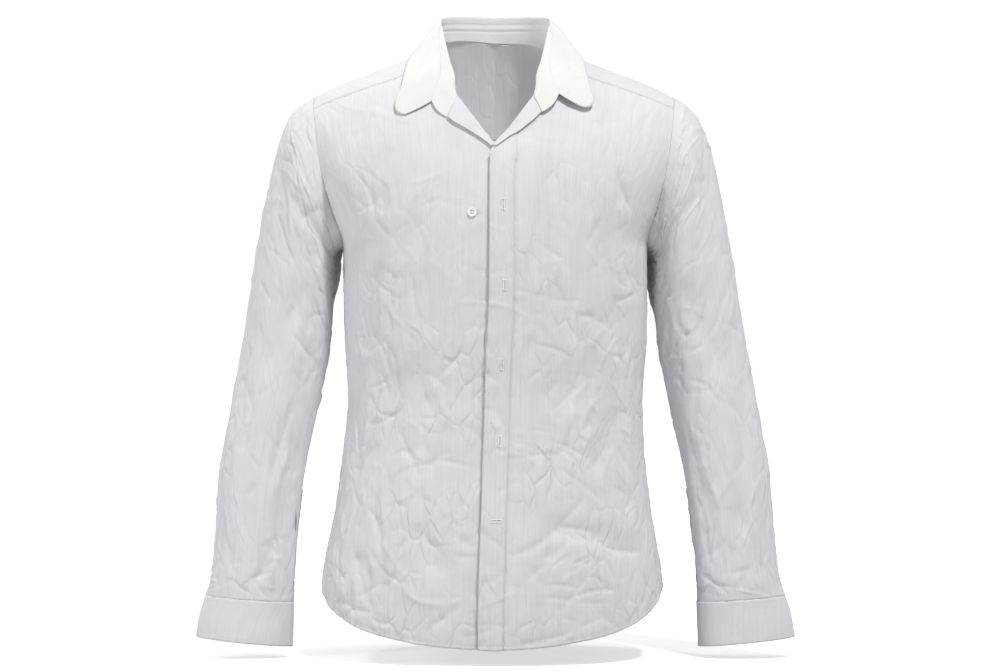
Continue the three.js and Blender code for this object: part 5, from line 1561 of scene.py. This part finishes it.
GREY = cotton("grey_striped_cotton", (0.755, 0.755, 0.775), (0.665, 0.665, 0.685), 0.00012, 0.0009)
WHITE = cotton("white_cotton", (0.81, 0.81, 0.8), (0.78, 0.78, 0.77), 0.00008, 0.0003)
PEARL = clouded("pearl", 0.3, (0.82, 0.81, 0.78), (0.94, 0.93, 0.91), 260, 0.00001, coat=0.4)
sewing = {}
for name, dark, light in (
    ("grey", (0.66, 0.66, 0.68), (0.78, 0.78, 0.8)),
    ("white", (0.93, 0.93, 0.92), (0.98, 0.98, 0.97)),
    # The dark "cut" thread: the button bars' thread, and the painted shade in the right sleeve's slit.
    ("cut", (0.24, 0.24, 0.25), (0.36, 0.36, 0.37)),
):
    sewing[name] = stitch_mesh(f"{name}_stitches", threads[name])
    paint = clouded(f"{name}_thread", 0.7, dark, light, 900, 0.0001, sheen=0.1)
    sewing[name].data.materials.append(paint)
print([material.name for material in bpy.data.materials])

# %% [markdown]
# ## Camera, light and floor
#
# The camera stands level with the middle of the shirt. A large white floor lies just under the
# cuffs. It glows for the camera alone, more the farther it is from the shirt, so that it meets
# the white background and still takes a soft shadow.

# %% Set the stage
CAMERA_AT = (12.4 * MM, -3.2, -0.35)
LENS, SENSOR = 92.16, 36
FLOOR_SIZE, FLOOR_Z, FLOOR_TONE, WHITE_LIGHT = 60, -0.746, (0.7, 0.7, 0.7, 1), (1, 1, 1, 1)
GLOW_BY_DISTANCE = (0.45, 1.3, 0.6, 1.0)
WORLD_LIGHT, WORLD_SEEN = 0.34, 1.05
MIDDLE, NECK = Vector((0, 0, -0.35)), Vector((0, 0.1, -0.05))
bpy.ops.object.camera_add(location=CAMERA_AT, rotation=(math.pi / 2, 0, 0))
camera = bpy.context.object
camera.data.lens, camera.data.sensor_width = LENS, SENSOR
bpy.context.scene.camera = camera
bpy.ops.mesh.primitive_plane_add(size=FLOOR_SIZE, location=(0, 0, FLOOR_Z))
floor = bpy.context.object
floor.name = "floor"
floor_paint, tree, surface = shader("floor_paint", 0.9)
surface.inputs["Base Color"].default_value = FLOOR_TONE
surface.inputs["Emission Color"].default_value = WHITE_LIGHT
place = add(tree, "ShaderNodeTexCoord").outputs["Object"]
away = add(tree, "ShaderNodeVectorMath", {0: place}, operation="LENGTH").outputs["Value"]
seen = add(tree, "ShaderNodeLightPath").outputs["Is Camera Ray"]
glow = times(tree, ranged(tree, away, *GLOW_BY_DISTANCE), seen)
tree.links.new(glow, surface.inputs["Emission Strength"])
floor.data.materials.append(floor_paint)
for name, place, aim, size, power_w in (
    ("key", (1.2, -1.9, 3.3), MIDDLE, 0.5, 146),
    ("left side", (-2.6, -1.4, 0.5), MIDDLE, 0.6, 24),
    ("behind", (-2.4, 2.0, 2.2), MIDDLE, 0.5, 42),
    ("inside", (0, -0.05, -0.2), NECK, 0.15, 0.14),
):
    bpy.ops.object.light_add(type="AREA", location=place)
    lamp = bpy.context.object
    lamp.name = name
    lamp.data.size, lamp.data.energy = size, power_w
    lamp.rotation_euler = (aim - Vector(place)).to_track_quat("-Z", "Y").to_euler()
world = bpy.data.worlds.new("studio")
bpy.context.scene.world = world
world.use_nodes = True
tree = world.node_tree
lit = tree.nodes["Background"]
lit.inputs["Color"].default_value = WHITE_LIGHT
lit.inputs["Strength"].default_value = WORLD_LIGHT
shown = add(tree, "ShaderNodeBackground", Color=WHITE_LIGHT, Strength=WORLD_SEEN)
seen = add(tree, "ShaderNodeLightPath").outputs["Is Camera Ray"]
both = add(tree, "ShaderNodeMixShader", {0: seen, 1: lit.outputs[0], 2: shown.outputs[0]})
tree.links.new(both.outputs[0], tree.nodes["World Output"].inputs["Surface"])
bpy.context.scene.view_settings.view_transform = "Standard"
print(f"the camera is {-CAMERA_AT[1]} m away, with a lens of {LENS} mm")

# %% [markdown]
# ## Pieces and sheets
#
# Every piece rides on the one rigid body, and each sheet takes the place of its solid. The table
# of sheets also lists the width and length of each flat cut, its area in square metres, and what it rests
# on, but nothing reads these.

# %% Paint every piece, put it on the body and hide its solid
SHEETS = [
    (fronts["left_front"]["piece"], "front_left", (0.30, 0.78), 0.175, ["shoulder_yoke"]),
    (fronts["right_front"]["piece"], "front_right", (0.31, 0.79), 0.181, ["shoulder_yoke"]),
    (band, "placket", (0.032, 0.64), None, ["left_front"]),
    (back, "back", (0.63, 0.66), 0.325, ["shoulder_yoke"]),
    (yoke, "yoke", (0.68, 0.20), 0.078, ["stand"]),
    (stand, "collar_stand", (0.56, 0.04), 0.0168, ["shoulder_yoke"]),
    (leaf, "collar_leaf", (0.57, 0.07), 0.030, ["stand"]),
]
for name in ("left", "right"):
    round_it = ["shoulder_yoke", f"{name}_front", "back_panel"]
    SHEETS.append((sleeves[name]["piece"], f"sleeve_{name}", (0.50, 0.66), 0.180, round_it))
for name in ("left", "right"):
    SHEETS.append((slit_bands[name], f"sleeve_placket_{name}", (0.011, 0.13), None, [f"{name}_sleeve"]))
for name in ("left", "right"):
    SHEETS.append((cuffs[name], f"cuff_{name}", (0.31, 0.058), None, [f"{name}_sleeve"]))
declared = [(piece, [f"button_{name}"], PEARL, "pearl_button") for name, piece in buttons.items()]
# The "cut" stitches are the button bars and the painted shade of the sleeve slit.
for thread, slot in (("grey", "grey_cotton"), ("white", "white_cotton"), ("cut", "grey_cotton")):
    declared.append((sewing[thread], [], None, slot))
for piece, node, *_ in SHEETS:
    white = piece in (stand, leaf)
    declared.append((piece, [node], WHITE if white else GREY, "white_cotton" if white else "grey_cotton"))
for piece, nodes_of, paint, slot in declared:
    if paint:
        piece.data.materials.append(paint)
    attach(piece, BODY)
    if nodes_of:
        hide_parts(*nodes_of)
    face_area = sum(face.area for face in piece.data.polygons) / 2
    print(f"{piece.name}: {face_area:.4f} square metres")
